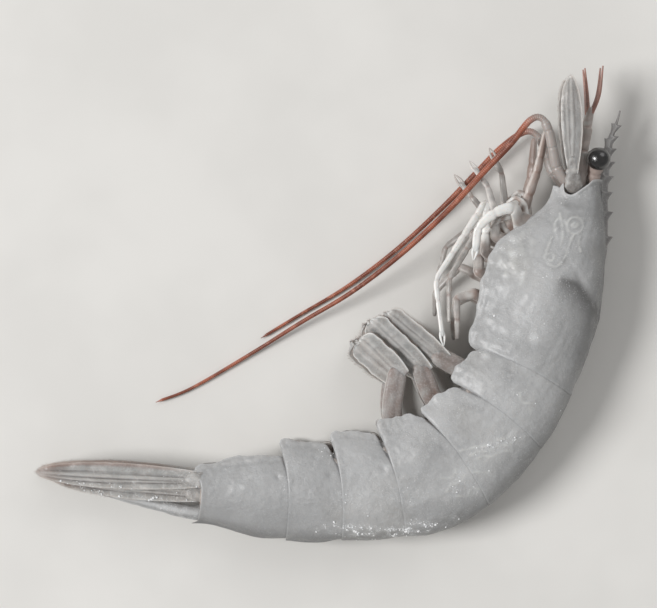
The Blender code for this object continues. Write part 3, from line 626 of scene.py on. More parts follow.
plates = {
    "lobeDepth": (12.7, 12.1, 13.0, 12.1, 10.9, 7.6),  # at the rear corner of each lobe
    "lobeNotch": (1.6, 2.4, 3.6, 3.6, 3.2, 0.4),  # how far its front is cut back
    "lastTaper": 2.6,
    "corner": (1.5, 1.35),  # length and height of the round rear corners of the lobes
    "raised": 0.8,  # how much less deep a lobe is where it lies under the plate before it
    "keel": (0, 0, 0, 0.25, 0.45, 0.55),  # height of the ridge along the back
    "keelWidth": 0.9,
    "bulge": 0.17,
    # bands as (height, distance in from the edge, width)
    "rearBands": ((0.02, 0.35, 0.3), (-0.02, 1.2, 0.4)),
    "lobeBands": ((0.06, 0.5, 0.35), (-0.05, 1.4, 0.5)),
    "crease": (0.03, 0.2, 0.8),  # depth, share of the plate's length and width of the groove across it
    "crimp": (0.07, 1.5, 2.5),  # height, size and reach of the thin lobes' waves
    "hinge": (1.2, -3.0, 0.2, 0.6),  # place, depth and width of the pit where two plates turn on each other
    "spine": (1.3, 0.7),  # length and width of the short spine that ends the back of the last plate
    "wrinkleRelief": (0.12, 0.24),  # height and width of the pale wavy wrinkles along the upper flank
    "wrinkles": (
        ((63.4, -0.3), (61.6, 0.6), (60.2, 1.2), (58.4, 2.6), (56.6, 3.0), (55.0, 4.4), (53.4, 4.9)),
        ((62.4, 1.8), (60.6, 2.2), (59.0, 3.6), (57.2, 4.0), (55.6, 5.6), (54.0, 6.0)),
        ((61.8, 3.2), (60.4, 3.6), (59.2, 4.9), (57.4, 5.4), (56.0, 7.0)),
        ((63.6, 5.0), (62.2, 6.2), (61.4, 7.8)),
        ((64.6, 8.6), (65.6, 7.6), (66.9, 8.4), (68.4, 7.4)),
        ((65.4, 4.4), (66.8, 5.2), (68.2, 4.6), (69.6, 5.6)),
        ((66.0, 2.4), (67.6, 3.4), (69.2, 2.6)), ((46.4, 1.0), (47.6, 2.4), (47.0, 4.0), (48.4, 5.2)),
    ),
}


def platePiece(number):
    index = number - 1
    start, end = joints[number] + body["gap"], joints[number + 1]
    first, last = start - shell["underlap"], end + shell["overhang"]
    stations = np.linspace(first, last, int((last - first) / shell["rowStep"]))
    u = np.clip((stations - start) / (end - start), 0, 1)
    under = np.clip((start - stations) / shell["underlap"], 0, 1)
    flare = shell["flare"] * (u**3 - (1 - u) ** 4) - shell["underdip"] * under
    dorsal, width = dorsalHeight(stations) + flare, halfWidth(stations) + flare
    cutBack = 1 - np.sqrt(1 - (1 - u) ** 2)
    fallen = plates["lastTaper"] * u**2 if number == 6 else plates["lobeNotch"][index] * cutBack
    ventral = plates["lobeDepth"][index] - fallen - plates["raised"] * under
    ventral = ventral - roundedCorner(last - stations, *plates["corner"])
    rings, outward, edge = shellGrid(stations, dorsal, ventral, width, body["flankTuck"], shell["columns"])
    v, w = rings[..., 0], rings[..., 1]
    s = stations[:, None] + sweepOf(v, dorsal[:, None], ventral[:, None])
    points = place(s, v, w)
    toRear = (last - stations)[:, None]
    deep, share, broad = plates["crease"]
    crease = bell((stations - start)[:, None] - share * (end - start), broad) * ramp(edge, 2, 6)
    crimp, crimpSize, crimpReach = plates["crimp"]
    hingeS, hingeV, pit, pitWidth = plates["hinge"]
    hinge = np.hypot(s - start - hingeS, v - hingeV)
    raised = unevenness(s, points) + bands(toRear, plates["rearBands"]) + bands(edge, plates["lobeBands"])
    raised += plates["bulge"] * np.sin(math.pi * u)[:, None] * ramp(edge, 0, 4)
    raised -= deep * crease
    raised += crimp * relief(points * (1, 1, 0.4), crimpSize, number) * np.exp(-edge / crimpReach)
    raised -= pit * bell(hinge, pitWidth) * (np.abs(w) > 3)
    raised += plates["keel"][index] * bell(w, plates["keelWidth"]) * (v > 0) * ramp(u, 0.0, 0.35)[:, None]
    v, w = v + outward[..., 0] * raised, w + outward[..., 1] * raised
    v = v + raggedEdge(s, w, edge, 30 * number)
    if number == 6:
        long, broad = plates["spine"]
        s = s + long * bell(w, broad) * (v > 0) * ramp(stations, end - 1.5, end + 0.4)[:, None]
    height, broad = plates["wrinkleRelief"]
    wavy = bell(strokeDistance(s, v, plates["wrinkles"]), broad) * (w > 0)
    wavy = wavy * (0.4 + 0.6 * ramp(relief(points, 1.6, 64), -0.8, 0.6))
    v, w = v + outward[..., 0] * height * wavy, w + outward[..., 1] * height * wavy
    pale = 0.35 * ramp(relief(points, 1.3, number + 70), 0.4, 1.4) * np.exp(-edge / 2.0)
    skin = Skin()
    sheetFrom(skin, s, v, w, outward, np.minimum(edge, toRear * 1.5), {
        # painted shade: darker along the back and in the hinge pits; the pale spots in the rim include
        # painted highlights
        "keel": ramp(v / dorsal[:, None], 0.72, 1.05), "rim": 0.6 * bell(edge, 0.25) + spotMark(s, v, w),
        "stain": 0.25 * bell(hinge, 0.35), "wrinkle": np.clip(pale + wavy, 0, 1),
        "calm": calmness(s), "film": paintedSheenMark(s, v), "frost": frostMark(s, v, w, points, 40 * number),
    })
    return skin.build(f"plate{number}", [cuticle], [f"segment_{number}"])


headShell = {
    "frontEdge": ((-9, 2.6), (-5, 2.3), (-1.4, 3.7), (1.5, 1.5), (3.2, -0.2), (5.1, -0.6)),  # as (v, s)
    # grooves and ridges as (height, width, line)
    "lines": (
        (-0.16, 0.7, ((24.6, 9.2), (21.5, 5.0), (17.5, 0.5), (13.6, -3.0))),  # neck groove
        (-0.14, 0.6, ((13.0, -3.6), (9.5, -5.0), (6.0, -5.4))),  # cheek groove
        (0.04, 0.6, ((25.5, 3.4), (31, 4.2), (38, 4.0))),  # gill ridge
    ),
    # bands as (height, distance in from the edge, width)
    "rearBands": ((0.03, 0.4, 0.3), (-0.04, 1.3, 0.4)),
    "lobeBands": ((0.1, 0.5, 0.35), (-0.07, 1.4, 0.4)),
    "frontBands": ((0.08, 0.4, 0.35), (-0.06, 1.2, 0.35)),
    "hepaticSpine": (11.2, -2.9, 0.5, 0.35, 0.3),  # place, width, height, and how far it leans forward
    "eyeSpine": (-3.2, 1.5, 0.4),  # height of the tooth below the orbit, its length and width
    "ridge": (0.35, 0.7),  # height and width of the ridge behind the rostrum
    "sideGrooves": (0.12, 1.9, 0.5),  # depth, distance from the middle and width, beside the rostrum
    "corner": (2.4, 2.2),  # length and height of the round rear corners
    "crimp": (0.05, 1.6),  # height and size of the thin margins' waves
    # front of the stomach's shadow
    "stain": ((21.6, 0.2), (21.7, 3.2), (22.8, 5.1), (24.2, 7.1), (25.0, 9.0)),
    # pale looped wrinkles behind the orbit: a ring with a spot in it, and a long narrow loop below it
    "loopRelief": (0.14, 0.23, 0.06, 0.75),  # height and width, and the same of the furrows beside them
    "loops": (
        ((9.5, 2.3), (8.4, 1.4), (8.3, 0.0), (9.4, -1.0), (11.0, -0.8), (11.7, 0.7), (10.8, 2.0),
         (9.5, 2.3)),
        ((9.7, 1.1), (9.3, 0.5), (9.9, 0.0), (10.4, 0.6), (9.7, 1.1)),
        ((9.1, -3.3), (10.5, -3.7), (11.7, -3.3)), ((9.2, -1.8), (10.0, -1.2)),
        ((13.1, -3.7), (14.8, -4.0), (16.4, -4.3), (18.1, -4.2), (19.1, -2.9), (19.2, -1.7), (18.4, -1.0),
         (17.0, -0.4), (15.2, 0.0), (13.3, 0.2), (11.8, 0.6)),
        ((17.0, -4.0), (16.6, -3.2), (17.2, -2.5), (18.2, -2.9), (18.0, -3.7)),
        ((8.0, -3.0), (10.4, -2.1), (12.7, -1.6), (14.8, -1.6)), ((12.0, 2.0), (13.4, 2.0), (15.0, 2.6)),
    ),
    # pale folds low at the front, where the shell is thin and crumpled
    "foldRelief": (0.13, 0.75),
    "folds": (
        ((13.6, -9.8), (17.0, -9.2), (21.0, -7.6), (24.6, -7.2)),
        ((14.8, -11.8), (18.4, -11.0), (22.4, -9.4)),
        ((16.6, -13.4), (20.2, -12.6), (23.4, -11.2)), ((11.6, -8.2), (14.4, -7.6), (17.2, -6.6)),
    ),
}


def headShellPiece():
    end = body["carapace"]
    stations = np.linspace(0, end + shell["overhang"], int(end / shell["rowStep"]))
    flare = shell["flare"] * np.clip(stations / end, 0, 1) ** 12
    dorsal, width = dorsalHeight(stations) + flare, halfWidth(stations) + flare
    ventral = cheekDepth(stations) + flare - roundedCorner(stations[-1] - stations, *headShell["corner"])
    columns = shell["columns"] + 10
    rings, outward, edge = shellGrid(stations, dorsal, ventral, width, body["cheekTuck"], columns)
    v, w = rings[..., 0], rings[..., 1]
    toRear, toFront = (stations[-1] - stations)[:, None], stations[:, None]
    s = toFront + sweepOf(v, dorsal[:, None], ventral[:, None]) * ramp(toFront, 17, 26)
    s = s + smoothCurve(headShell["frontEdge"])(v) * (1 - ramp(toFront, 0, 8))
    toothV, long, broad = headShell["eyeSpine"]
    s = s - long * bell(v - toothV, broad) * (1 - ramp(toFront, 0, 2.2))
    points = place(s, v, w)
    raised = unevenness(s, points) + bands(toRear, headShell["rearBands"])
    raised += bands(edge, headShell["lobeBands"]) + bands(toFront, headShell["frontBands"])
    raised += sum(height * bell(lineDistance(s, v, line), wide) for height, wide, line in headShell["lines"])
    spineS, spineV, wide, height, lean = headShell["hepaticSpine"]
    spine = bell(np.hypot(s - spineS, 1.4 * (v - spineV)), wide)
    raised += height * spine
    loopHeight, loopWidth, furrow, furrowWidth = headShell["loopRelief"]
    away = strokeDistance(s, v, headShell["loops"], 40, 0.08 * relief(points, 1.4, 63))
    loops = bell(away, loopWidth) * (0.62 + 0.38 * ramp(relief(points, 2.2, 61), -0.9, 0.7)) * (w > 0)
    besides = np.maximum(bell(away, furrowWidth) - loops, 0) * (w > 0)
    height, wide = headShell["foldRelief"]
    folds = bell(strokeDistance(s, v, headShell["folds"]), wide) * ramp(relief(points, 2.2, 62), -0.7, 0.8)
    raised += loopHeight * loops - furrow * besides + height * folds
    height, wide = headShell["ridge"]
    raised += height * bell(w, wide) * (v > 0) * (ramp(toFront, 9, 15) - ramp(toFront, 26, 34))
    deep, off, wide = headShell["sideGrooves"]
    raised -= deep * bell(np.abs(w) - off, wide) * (v > 0) * (1 - ramp(toFront, 12, 20))
    height, size = headShell["crimp"]
    raised += height * relief(points, size, 91) * (np.exp(-edge / 3) + np.exp(-toFront / 6))
    v, w = v + outward[..., 0] * raised, w + outward[..., 1] * raised
    s = s - lean * spine
    v = v + raggedEdge(s, w, edge, 77, 0.6)
    # the shadow is sharp at its front and fades out behind
    front = lineDistance(s, v, softLine(headShell["stain"], 40))
    behind = s > np.interp(v, *np.transpose(headShell["stain"])[::-1])
    stain = np.where(behind, 0.75 * bell(front, 4.0) + 0.25 * bell(front, 1.5), bell(front, 0.9))
    rims = 0.7 * bell(edge, 0.35) + 0.1 * bell(toRear, 0.3) + bell(toFront, 0.35) + spotMark(s, v, w)
    # painted shade, darker towards the back
    back = 0.15 * ramp(v, -3, 3) + 0.85 * ramp(v / dorsal[:, None], 0.55, 0.95)
    skin = Skin()
    sheetFrom(skin, s, v, w, outward, np.minimum(edge, np.minimum(toRear, toFront) * 1.5), {
        # painted shade also in the furrows beside the loops; the pale spots in the rim include painted
        # highlights
        "keel": np.clip(back, 0, 1) * (1 - 0.4 * ramp(s, 33, 41)), "rim": np.clip(rims, 0, 1),
        "stain": np.clip(stain * ramp(v, -2.6, 1.4) + 0.3 * besides, 0, 1) * (w > 0),
        "wrinkle": np.clip(0.85 * loops + 0.5 * folds, 0, 1),
        "film": paintedSheenMark(s, v), "frost": frostMark(s, v, w, points, 11),
    })
    return skin.build("headShell", [cuticle], ["carapace"])


shellPieces = [headShellPiece()] + [platePiece(number) for number in range(1, 7)]
print("shell:", len(shellPieces), "plates")


rostrum = {
    "top": ((-15.5, 6.8), (-9, 6.2), (0, 6.6), (8, 7.9), (15, 8.8)),
    "below": ((-15.5, 6.4), (-9, 4.9), (0, 3.4), (8, 5.0), (15, 7.0)),
    "halfThickness": ((-15.5, 0.16), (-12, 0.42), (-4, 0.62), (6, 0.8), (15, 0.9)),
    "teeth": (12.5, 7.5, 3.5, 0.2, -2.8, -5.6, -8.2, -10.6),  # stations of the roots
    "underTeeth": (-7.5, -10.8),
    "tooth": (2.0, 1.1, 0.6),  # length, height, and the share of it that those below have
    "hook": (0.82, 0.95),  # shares of its length where a tooth's tip starts and ends
    "reach": (-15.5, 15.0),
    "grid": (250, 19),  # rows along it and columns across it
    "wedge": (0.93, 2.4),  # how much thinner it is at its edges, and how near to them
    "sideRidge": (0.16, 0.1, 0.14),  # height, and place and width across it
    "lean": 0.35,  # how far its teeth lean forward, as a share of their height
}


def saw(s, roots, length, height):
    # teeth that rise slowly towards the front and end in a hooked tip
    rise = np.zeros_like(s)
    peak, end = rostrum["hook"]
    for root in roots:
        t = (root - s) / length
        rise = np.maximum(rise, height * np.where((t > 0) & (t < peak), np.clip(t / peak, 0, 1) ** 1.5, 0))
        rise = np.maximum(rise, height * np.where((t >= peak) & (t < end), (end - t) / (end - peak), 0))
    return rise


def rostrumPiece():
    rows, columns = rostrum["grid"]
    s = np.linspace(*rostrum["reach"], rows)[:, None]
    x = np.sin(np.linspace(-0.5, 0.5, columns) * math.pi)[None]
    length, height, lowShare = rostrum["tooth"]
    topTeeth = saw(s, rostrum["teeth"], length, height)
    lowTeeth = saw(s, rostrum["underTeeth"], length, lowShare * height)
    top, below, half = (smoothCurve(rostrum[key])(s) for key in ("top", "below", "halfThickness"))
    top, below = top + topTeeth, below - lowTeeth
    v = below + (top - below) * (x + 1) / 2
    thinner, sharpness = rostrum["wedge"]
    half = half * (1 - thinner * np.abs(x) ** sharpness)
    ridge, across, wide = rostrum["sideRidge"]
    half = half + ridge * bell(x - across, wide) * ramp(s, -15, -8)
    points = place(s, v, 0)
    half = half * (1 + 0.06 * relief(points, 1.6, 5))
    lean = rostrum["lean"] * (topTeeth * ramp(x, 0.3, 1) + lowTeeth * ramp(-x, 0.3, 1))
    skin = Skin()
    skin.addSheet(place(s - lean, v, half), place(s - lean, v, -half), {
        # painted shade: the whole blade is painted darker, more so towards its upper edge
        "keel": 0.8, "inside": 0.4, "rim": 0.45 * ramp(np.abs(x), 0.88, 1),
        "wrinkle": 0.5 * bell(x - across, 0.12), "stain": 0.25 * ramp(x, 0.1, 0.7),
        "frost": 0.35 * ramp(relief(points, 2.0, 8), 0.6, 1.5),
    })
    return skin.build("rostrum", [cuticle])


fleshForm = {
    "inset": 1.0,  # under the shell
    "front": -1.9,
    "back": 0.2,  # how far it ends before the last plate does
    "belly": (0.1, 0.5, 0.9),  # how far the belly lies below the solids', swells, and rises at its sides
    "depth": ((0, 5.2), (19, 14.5), (41.6, 12.8), (101, 12.0), (119.3, 9.0)),
    "tuck": ((0, 0.42), (38, 0.42), (44, 0.27), (119.3, 0.27)),
    # share of its size at the head's front
    "face": ((-1.9, 0.12), (-1.5, 0.34), (-0.6, 0.48), (1.6, 0.6), (5, 0.72), (10, 0.86), (15, 1.0)),
    "bars": (0.5, 1.1),  # height and width of the bars across the belly between the swimmerets
    "furrow": (0.35, 0.9),  # depth and width of the one along the belly
    "lumps": ((0.16, 3, 21), (0.09, 1.3, 22)),  # (height, size, seed)
    "columns": 62,  # on each side
}


def fleshPiece():
    # the body inside: the soft head front with the eye roots, the belly skin, and what shows between plates
    ends = np.linspace(fleshForm["front"], 4, 26), np.linspace(4.25, tail - fleshForm["back"], 300)
    stations = np.concatenate(ends)
    lower, swell, rise = fleshForm["belly"]
    tuck, depth, face = (smoothCurve(fleshForm[key]) for key in ("tuck", "depth", "face"))
    across = np.linspace(0, 1, 24)[:-1]
    rings = []
    for s in stations:
        ventral, belly = depth(s), bellyDepth(s) + lower
        width, dorsal = halfWidth(s) - fleshForm["inset"], dorsalHeight(s) - fleshForm["inset"]
        widest = body["widestAt"] * ventral
        shares = np.linspace((belly + widest) / (ventral + widest), 0, 26)[:-1]
        flank = halfOutline(dorsal, ventral, width, tuck(s), shares, 50)
        under = np.stack((rise * across**8 - swell * (1 - across**2) - belly, across * flank[0, 1]), -1)
        half = resample(np.concatenate([under, flank]), fleshForm["columns"]) * face(s)
        rings.append(np.concatenate([half, (half * (1, -1))[-2:0:-1]]))
    v, w = np.moveaxis(np.stack(rings), -1, 0)
    s = stations[:, None] + 0 * v
    points = place(s, v, w)
    under = ramp(-v, 3, 5)
    height, wide = fleshForm["bars"]
    bars = sum(bell(s - 0.5 * (a + b) - 1.0, wide) for a, b in zip(joints[1:-1], joints[2:]))
    v = v - height * bars * under * ramp(9 - np.abs(w), 0, 4)
    deep, wide = fleshForm["furrow"]
    v = v + deep * under * bell(w, wide) * ramp(s, 8, 40)
    v = v + sum(height * relief(points, size, seed) for height, size, seed in fleshForm["lumps"])
    w = w * (1 + 0.02 * relief(points, 4, 23))
    skin = Skin()
    skin.addRings(layDown(place(s, v, w)) + (0, 0, 0.05 * mm))
    return skin.build("innerFlesh", [flesh])


rostrumPiece()
fleshPiece()
print("rostrum and flesh")


def frames(path):
    # directions along a path, and two across it that never twist
    along = unit(np.gradient(path, axis=0))
    side = np.cross(along[0], (0, 0, 1.0))
    if np.linalg.norm(side) < 0.1:
        side = np.cross(along[0], (1.0, 0, 0))
    sides = []
    for way in along:
        side = side - way * np.dot(side, way)
        side = side / np.linalg.norm(side)
        sides.append(side)
    sides = np.array(sides)
    return along, sides, np.cross(along, sides)


def tubeRings(path, radii, flat, around):
    # rings round a path in metres, with three more at each end that round it off; flat is its height as a
    # share of its width
    along, side, up = frames(path)
    ends = np.array((0.25, 0.6, 0.85))
    reach = np.sqrt(1 - ends**2)[:, None]
    start, end = path[0] - along[0] * radii[0] * reach, path[-1] + along[-1] * radii[-1] * reach[::-1]
    centres = np.concatenate([start, path, end])[:, None]
    sizes = np.concatenate([radii[0] * ends, radii, radii[-1] * ends[::-1]])[:, None, None]
    rows = padEnds(np.arange(len(path)))
    turn = fullTurn(around)[..., None]
    return centres + sizes * (np.cos(turn) * side[rows, None] + np.sin(turn) * flat * up[rows, None])


def padEnds(values):
    return np.pad(values, 3, mode="edge")  # for the rings that round off a tube


def cutCorners(points, share=0.16, turns=7):
    # softens each knee, keeping the ends, as the solids do
    path = [points[0]]
    for before, knee, after in zip(points[:-2], points[1:-1], points[2:]):
        a, b = knee + (before - knee) * share, knee + (after - knee) * share
        for t in np.linspace(0, 1, turns):
            path.append((1 - t) ** 2 * a + 2 * t * (1 - t) * knee + t * t * b)
    path.append(points[-1])
    return np.array(path)


bristles = {
    "at": [], "way": [], "long": [],  # roots in metres, directions and lengths in mm
    "thickness": 0.028,
    "lowest": 0.1,  # height above the ground that their tips keep
}


def sparseHairs(rings, centre, sizes, seed):
    # single hairs that stand off a limb, leaning towards its end
    perRing, long = sizes
    draw = np.random.default_rng(seed)
    rows = np.nonzero(draw.random(len(rings)) < perRing)[0]
    turns = draw.integers(0, rings.shape[1], len(rows))
    at, middle = rings[rows, turns], centre[rows, 0]
    along = unit(np.gradient(centre[:, 0], axis=0))[rows]
    bristles["at"].append(at + 0.1 * (middle - at))
    bristles["way"].append(unit(unit(at - middle) + 1.2 * along + 0.2 * draw.normal(size=at.shape)))
    bristles["long"].append(long * draw.uniform(0.5, 1.2, len(rows)))


limbs = {
    "hairs": (0.3, 0.6),  # share of the rings that have one, and their length
    "radii": {"maxilliped": (1.15, 0.6), "leg": (0.95, 0.45)},
    "step": 0.2,  # spacing of the rings
    "swell": 0.05,  # of each article's middle, as a share of its radius
    "waist": {"leg": 0.13, "maxilliped": 0.052},  # of each seam
    "extraSeam": (7, 0.38),  # a stretch longer than this has one more seam, at this share of it
    "around": 24,
    "coxaRows": 15,  # rings of the part inside the body
    "gutter": 0.12,  # depth of the shallow gutter along each flat face, as a share of the radius
    "coxa": 0.25,  # how much thicker a limb is at its root
    "coxaRadii": (1.15, 1.0),  # as shares of the limb's first radius
    "rim": (0.06, 0.9, 0.5),  # height, distance and width of the swelling beside each seam
    "clawed": ("leg_1", "leg_2", "leg_3"),
    "claw": {
        "length": 2.4, "spread": 0.36, "radii": (0.32, 0.26, 0.09), "palm": 0.15, "sunk": 0.6,
        "bow": (0.55, 0.9, 0.35),  # shares of the spread at which its fingers start, bow out and close
    },
    "curved": ("leg_1_left",),  # bent softly instead of at sharp knees
    "paths": {
        "maxilliped_left": ((12.2, -12.3, 2.6), (8, -10.2, 3), (0, -8.7, 2.8), (-8.3, -8.2, 2.8)),
        "leg_1_left": (
            (10.6, -11, 5.4), (8.7, -12.8, 7.4), (10.5, -16.2, 8.4), (14.4, -18.8, 8.2), (19.5, -18.6, 7.4),
        ),
        "leg_2_left": ((15.6, -14.9, 4.2), (9.9, -16.2, 5.2), (4.8, -18.4, 4), (1.5, -21.4, 2.2)),
        "leg_3_left": (
            (19.6, -16.3, 4.2), (7.6, -18, 1.8), (17, -21.4, 4.4), (30.2, -24.6, 6.2), (43.2, -18.8, 6.6),
        ),
        "leg_4_left": ((24.6, -16.5, 3.4), (14.2, -18.4, 0.2), (28.6, -21.9, 1.8), (39, -18.6, 1.6)),
        "leg_5_left": ((30.2, -16, 4.4), (32.8, -19.2, 4.4), (38, -17.2, 4), (42, -15.6, 3.6)),
        "maxilliped_right": ((12.2, -11.7, -2.6), (8, -10, -2.8), (1, -9.4, -2.6), (-6.6, -10, -2.4)),
        "leg_1_right": ((13, -13.4, 0.2), (8.2, -14, 0.4), (1.3, -15.8, 0.6), (-1.5, -17.8, 0.8)),
        "leg_2_right": ((16.2, -15.3, -3.6), (11, -17, -3.8), (7.2, -21, -4.4), (4.6, -23.6, -5)),
        "leg_3_right": ((20.2, -16.6, -3.6), (14.6, -20, -4.4), (20.5, -24.2, -6.4), (26.5, -24, -7.4)),
        "leg_4_right": ((25.2, -16.8, -3.6), (24.6, -20.4, -4.6), (33, -23.4, -6.4), (39, -21.6, -7)),
        "leg_5_right": ((30.6, -16.3, -3.6), (34, -18.6, -4.4), (39, -17.4, -5.6), (42.5, -15.8, -6)),
    },
    "white": {"leg_1_left": 1.0, "leg_3_left": 1.0, "leg_2_left": 0.35, "leg_4_left": 0.12},
    "broad": {"leg_1_left": 1.4, "leg_3_left": 1.0, "maxilliped_left": 1.15, "maxilliped_right": 1.15},
    "flat": {"leg_1_left": 0.55, "leg_3_left": 0.7},  # height as a share of the width
}


def fingers(skin, end, way, side, marks, claw):
    # the two short fingers of a claw, bowed so that their tips meet
    t = np.linspace(0, 1, 12)[:, None]
    apart, bow, closing = claw["bow"]
    out = side * claw["spread"] * mm * (apart + bow * np.sin(math.pi * t**0.8) - closing * t)
    middle = end + way * mm * (-claw["sunk"] + (claw["length"] + claw["sunk"]) * t)
    radii = np.interp(t[:, 0], (0, 0.5, 1), claw["radii"]) * mm
    for path in (middle + out, middle - out):
        skin.addRings(tubeRings(path, radii, 0.9, 12), marks)


def limbPiece(name):
    points = np.array(limbs["paths"][name])
    words = name.split("_")
    kind, broad = words[0], limbs["broad"].get(name, 1.0)
    thick, thin = limbs["radii"][kind]
    knees = place(*points.T)
    path = softLine(knees, 200) if name in limbs["curved"] else cutCorners(knees)
    run = np.linalg.norm(np.diff(path, axis=0), axis=1).sum() / mm
    path = resample(path, int(run / limbs["step"]))
    at = np.linspace(0, run, len(path))
    knees = [at[np.argmin(np.linalg.norm(path - knee, axis=1))] for knee in knees[1:-1]]
    longest, share = limbs["extraSeam"]
    stops = [0.0, *knees, run]
    seams = sorted(knees + [a + share * (b - a) for a, b in zip(stops[:-1], stops[1:]) if b - a > longest])
    radii = thick + (thin - thick) * at / run
    nearest = nearestOf(at, seams)
    edges = np.array([0.0, *seams, run])
    inside = np.clip(np.searchsorted(edges, at, side="right") - 1, 0, len(edges) - 2)
    t = (at - edges[inside]) / (edges[inside + 1] - edges[inside])
    slimmer = limbs["waist"][kind] * bell(nearest, 0.3)
    radii = radii * broad * (1 + limbs["swell"] * np.sin(math.pi * t**0.8) - slimmer)
    height, middle, wide = limbs["rim"]
    radii = radii * (1 + height * bell(nearest - middle, wide) + limbs["coxa"] * np.exp(-at / 1.5))
    clawed = name.rsplit("_", 1)[0] in limbs["clawed"]
    if clawed:
        radii = radii * (1 + limbs["claw"]["palm"] * bell(run - at - 1.0, 1.6))
    s0, w0 = points[0, [0, 2]]
    root = place(s0 + 0.6, -float(bellyDepth(s0)) + 0.9, 0.5 * w0)  # its coxa starts inside the body
    rows = limbs["coxaRows"]
    path = np.concatenate([root + (path[0] - root) * np.linspace(0, 1, rows + 1)[:-1, None], path])
    # its bend where it leaves the body is softened
    before, bend, after = (path[rows + k:rows + k + 6] for k in (-3, -2, -1))
    path[rows - 2:rows + 4] = 0.25 * before + 0.5 * bend + 0.25 * after
    radii = np.concatenate([np.linspace(*limbs["coxaRadii"], rows) * radii[0], radii]) * mm
    # the rest of the length is counted from the limb's visible root
    at = np.concatenate([np.linspace(-3, 0, rows + 1)[:-1], at])
    nearest = nearestOf(at, seams + [0.0])
    rings = tubeRings(path, radii, limbs["flat"].get(name, 0.8), limbs["around"])
    padded, near = padEnds(at), padEnds(nearest)
    spread = relief(rings, 2.2, len(name) + int(10 * w0 + 50))
    bright = limbs["white"].get(name, 0.0)
    if bright > 0.5:
        white = bright * ramp(padded, 1, 4)[:, None] * (0.94 + 0.06 * spread)
    else:
        white = bright * (0.6 + 0.4 * spread)
    pink = 0.75 if kind == "maxilliped" else 0.3 * np.exp(-padded / 3)[:, None]
    across = np.cos(fullTurn(limbs["around"]))
    marks = {
        "white": np.clip(white, 0, 1), "joint": bell(near, 0.3)[:, None] * (1 - 0.75 * bright),
        "pink": np.clip(pink + 0.15 * spread, 0, 1),
        "rim": 0.8 * bell(np.abs(across) - 1, 0.12),  # light along both sides
    }
    centre = rings.mean(1, keepdims=True)
    swelling = 1 + 0.02 * relief(rings, 3.0, 3) - limbs["gutter"] * bell(across - 0.15, 0.2)
    rings = np.maximum(centre + (rings - centre) * swelling[..., None], (-1, -1, 0.02 * mm))
    sparseHairs(rings[rows + 3:-4], centre[rows + 3:-4], limbs["hairs"], int(10 * w0 + 500))
    skin = Skin()
    skin.addRings(rings, marks)
    if clawed:
        ways, across, _ = frames(path)
        tips = {"white": min(1.0, bright + 0.1), "pink": 0.3, "rim": 0.2}
        fingers(skin, path[-1], ways[-1], across[-1], tips, limbs["claw"])
    pieceName = words[0] + "".join(word.capitalize() for word in words[1:])
    return skin.build(pieceName, [limbChitin], [name])


for limbName in limbs["paths"]:
    limbPiece(limbName)
print("limbs:", len(limbs["paths"]))


palps = {
    "paths": (  # of the small mouth limbs, seen between the legs and the head shell
        ((13.0, -10.6, 3.4), (10.6, -12.0, 4.8), (11.4, -14.4, 5.4), (13.6, -16.2, 5.2)),
        ((12.0, -10.0, 2.0), (9.4, -11.4, 3.2), (9.2, -13.6, 3.6), (11.2, -15.2, 3.4)),
        ((11.0, -9.4, 3.8), (7.6, -10.2, 4.6), (6.2, -12.2, 4.4), (7.4, -13.8, 3.8)),
        ((14.4, -12.0, 2.8), (12.6, -14.2, 3.6), (14.2, -16.4, 3.8), (16.8, -17.0, 3.4)),
        ((10.4, -8.8, 0.4), (6.4, -9.4, 0.6), (4.6, -11.4, 0.4), (5.8, -13.0, 0.2)),
        ((10.8, -9.0, -1.6), (7.2, -10.0, -2.2), (5.6, -12.2, -2.0), (7.0, -13.8, -1.6)),
    ),
    "radii": (0.75, 0.3),
    "beads": (0.18, 9),  # height of the swellings along each, and the angle their wave runs through
    "tube": (60, 0.6, 14),  # rows, height as a share of the width, and points round it
}


def palpPiece():
    rows, flat, around = palps["tube"]
    height, often = palps["beads"]
    skin = Skin()
    for number, path in enumerate(palps["paths"]):
        path = softLine(path, rows)
        route = place(*path.T)
        beads = 1 + height * np.abs(np.sin(np.linspace(0, often, rows)))
        rings = tubeRings(route, np.linspace(*palps["radii"], rows) * beads * mm, flat, around)
        spread = relief(rings, 1.6, 60 + number)
        skin.addRings(rings, {
            "white": np.clip(0.35 + 0.3 * spread, 0, 1), "pink": np.clip(0.25 - 0.3 * spread, 0, 1),
            "joint": 0.4 * ramp(spread, 0.8, 1.6),
        })
    return skin.build("mouthPalps", [limbChitin])


palpPiece()


eyes = {
    "root": (-0.6, 3.3, 2.3),
    "centre": (-4.6, 3.4, 4.8),
    "radius": 2.5,
    "stalkRadii": (1.15, 1.3, 1.55),
    "stalkShare": 0.62,  # of the way to the middle of the eye that the bare stalk goes
    "rim": 0.86,  # share of its radius behind its middle where the eye begins
    "short": 0.97,  # length as a share of the width
    "flat": 0.93,  # height as a share of the width
    "waist": (0.12, 1.2, 0.4),  # depth, place and width of the seam round the stalk
    "around": 48,
}


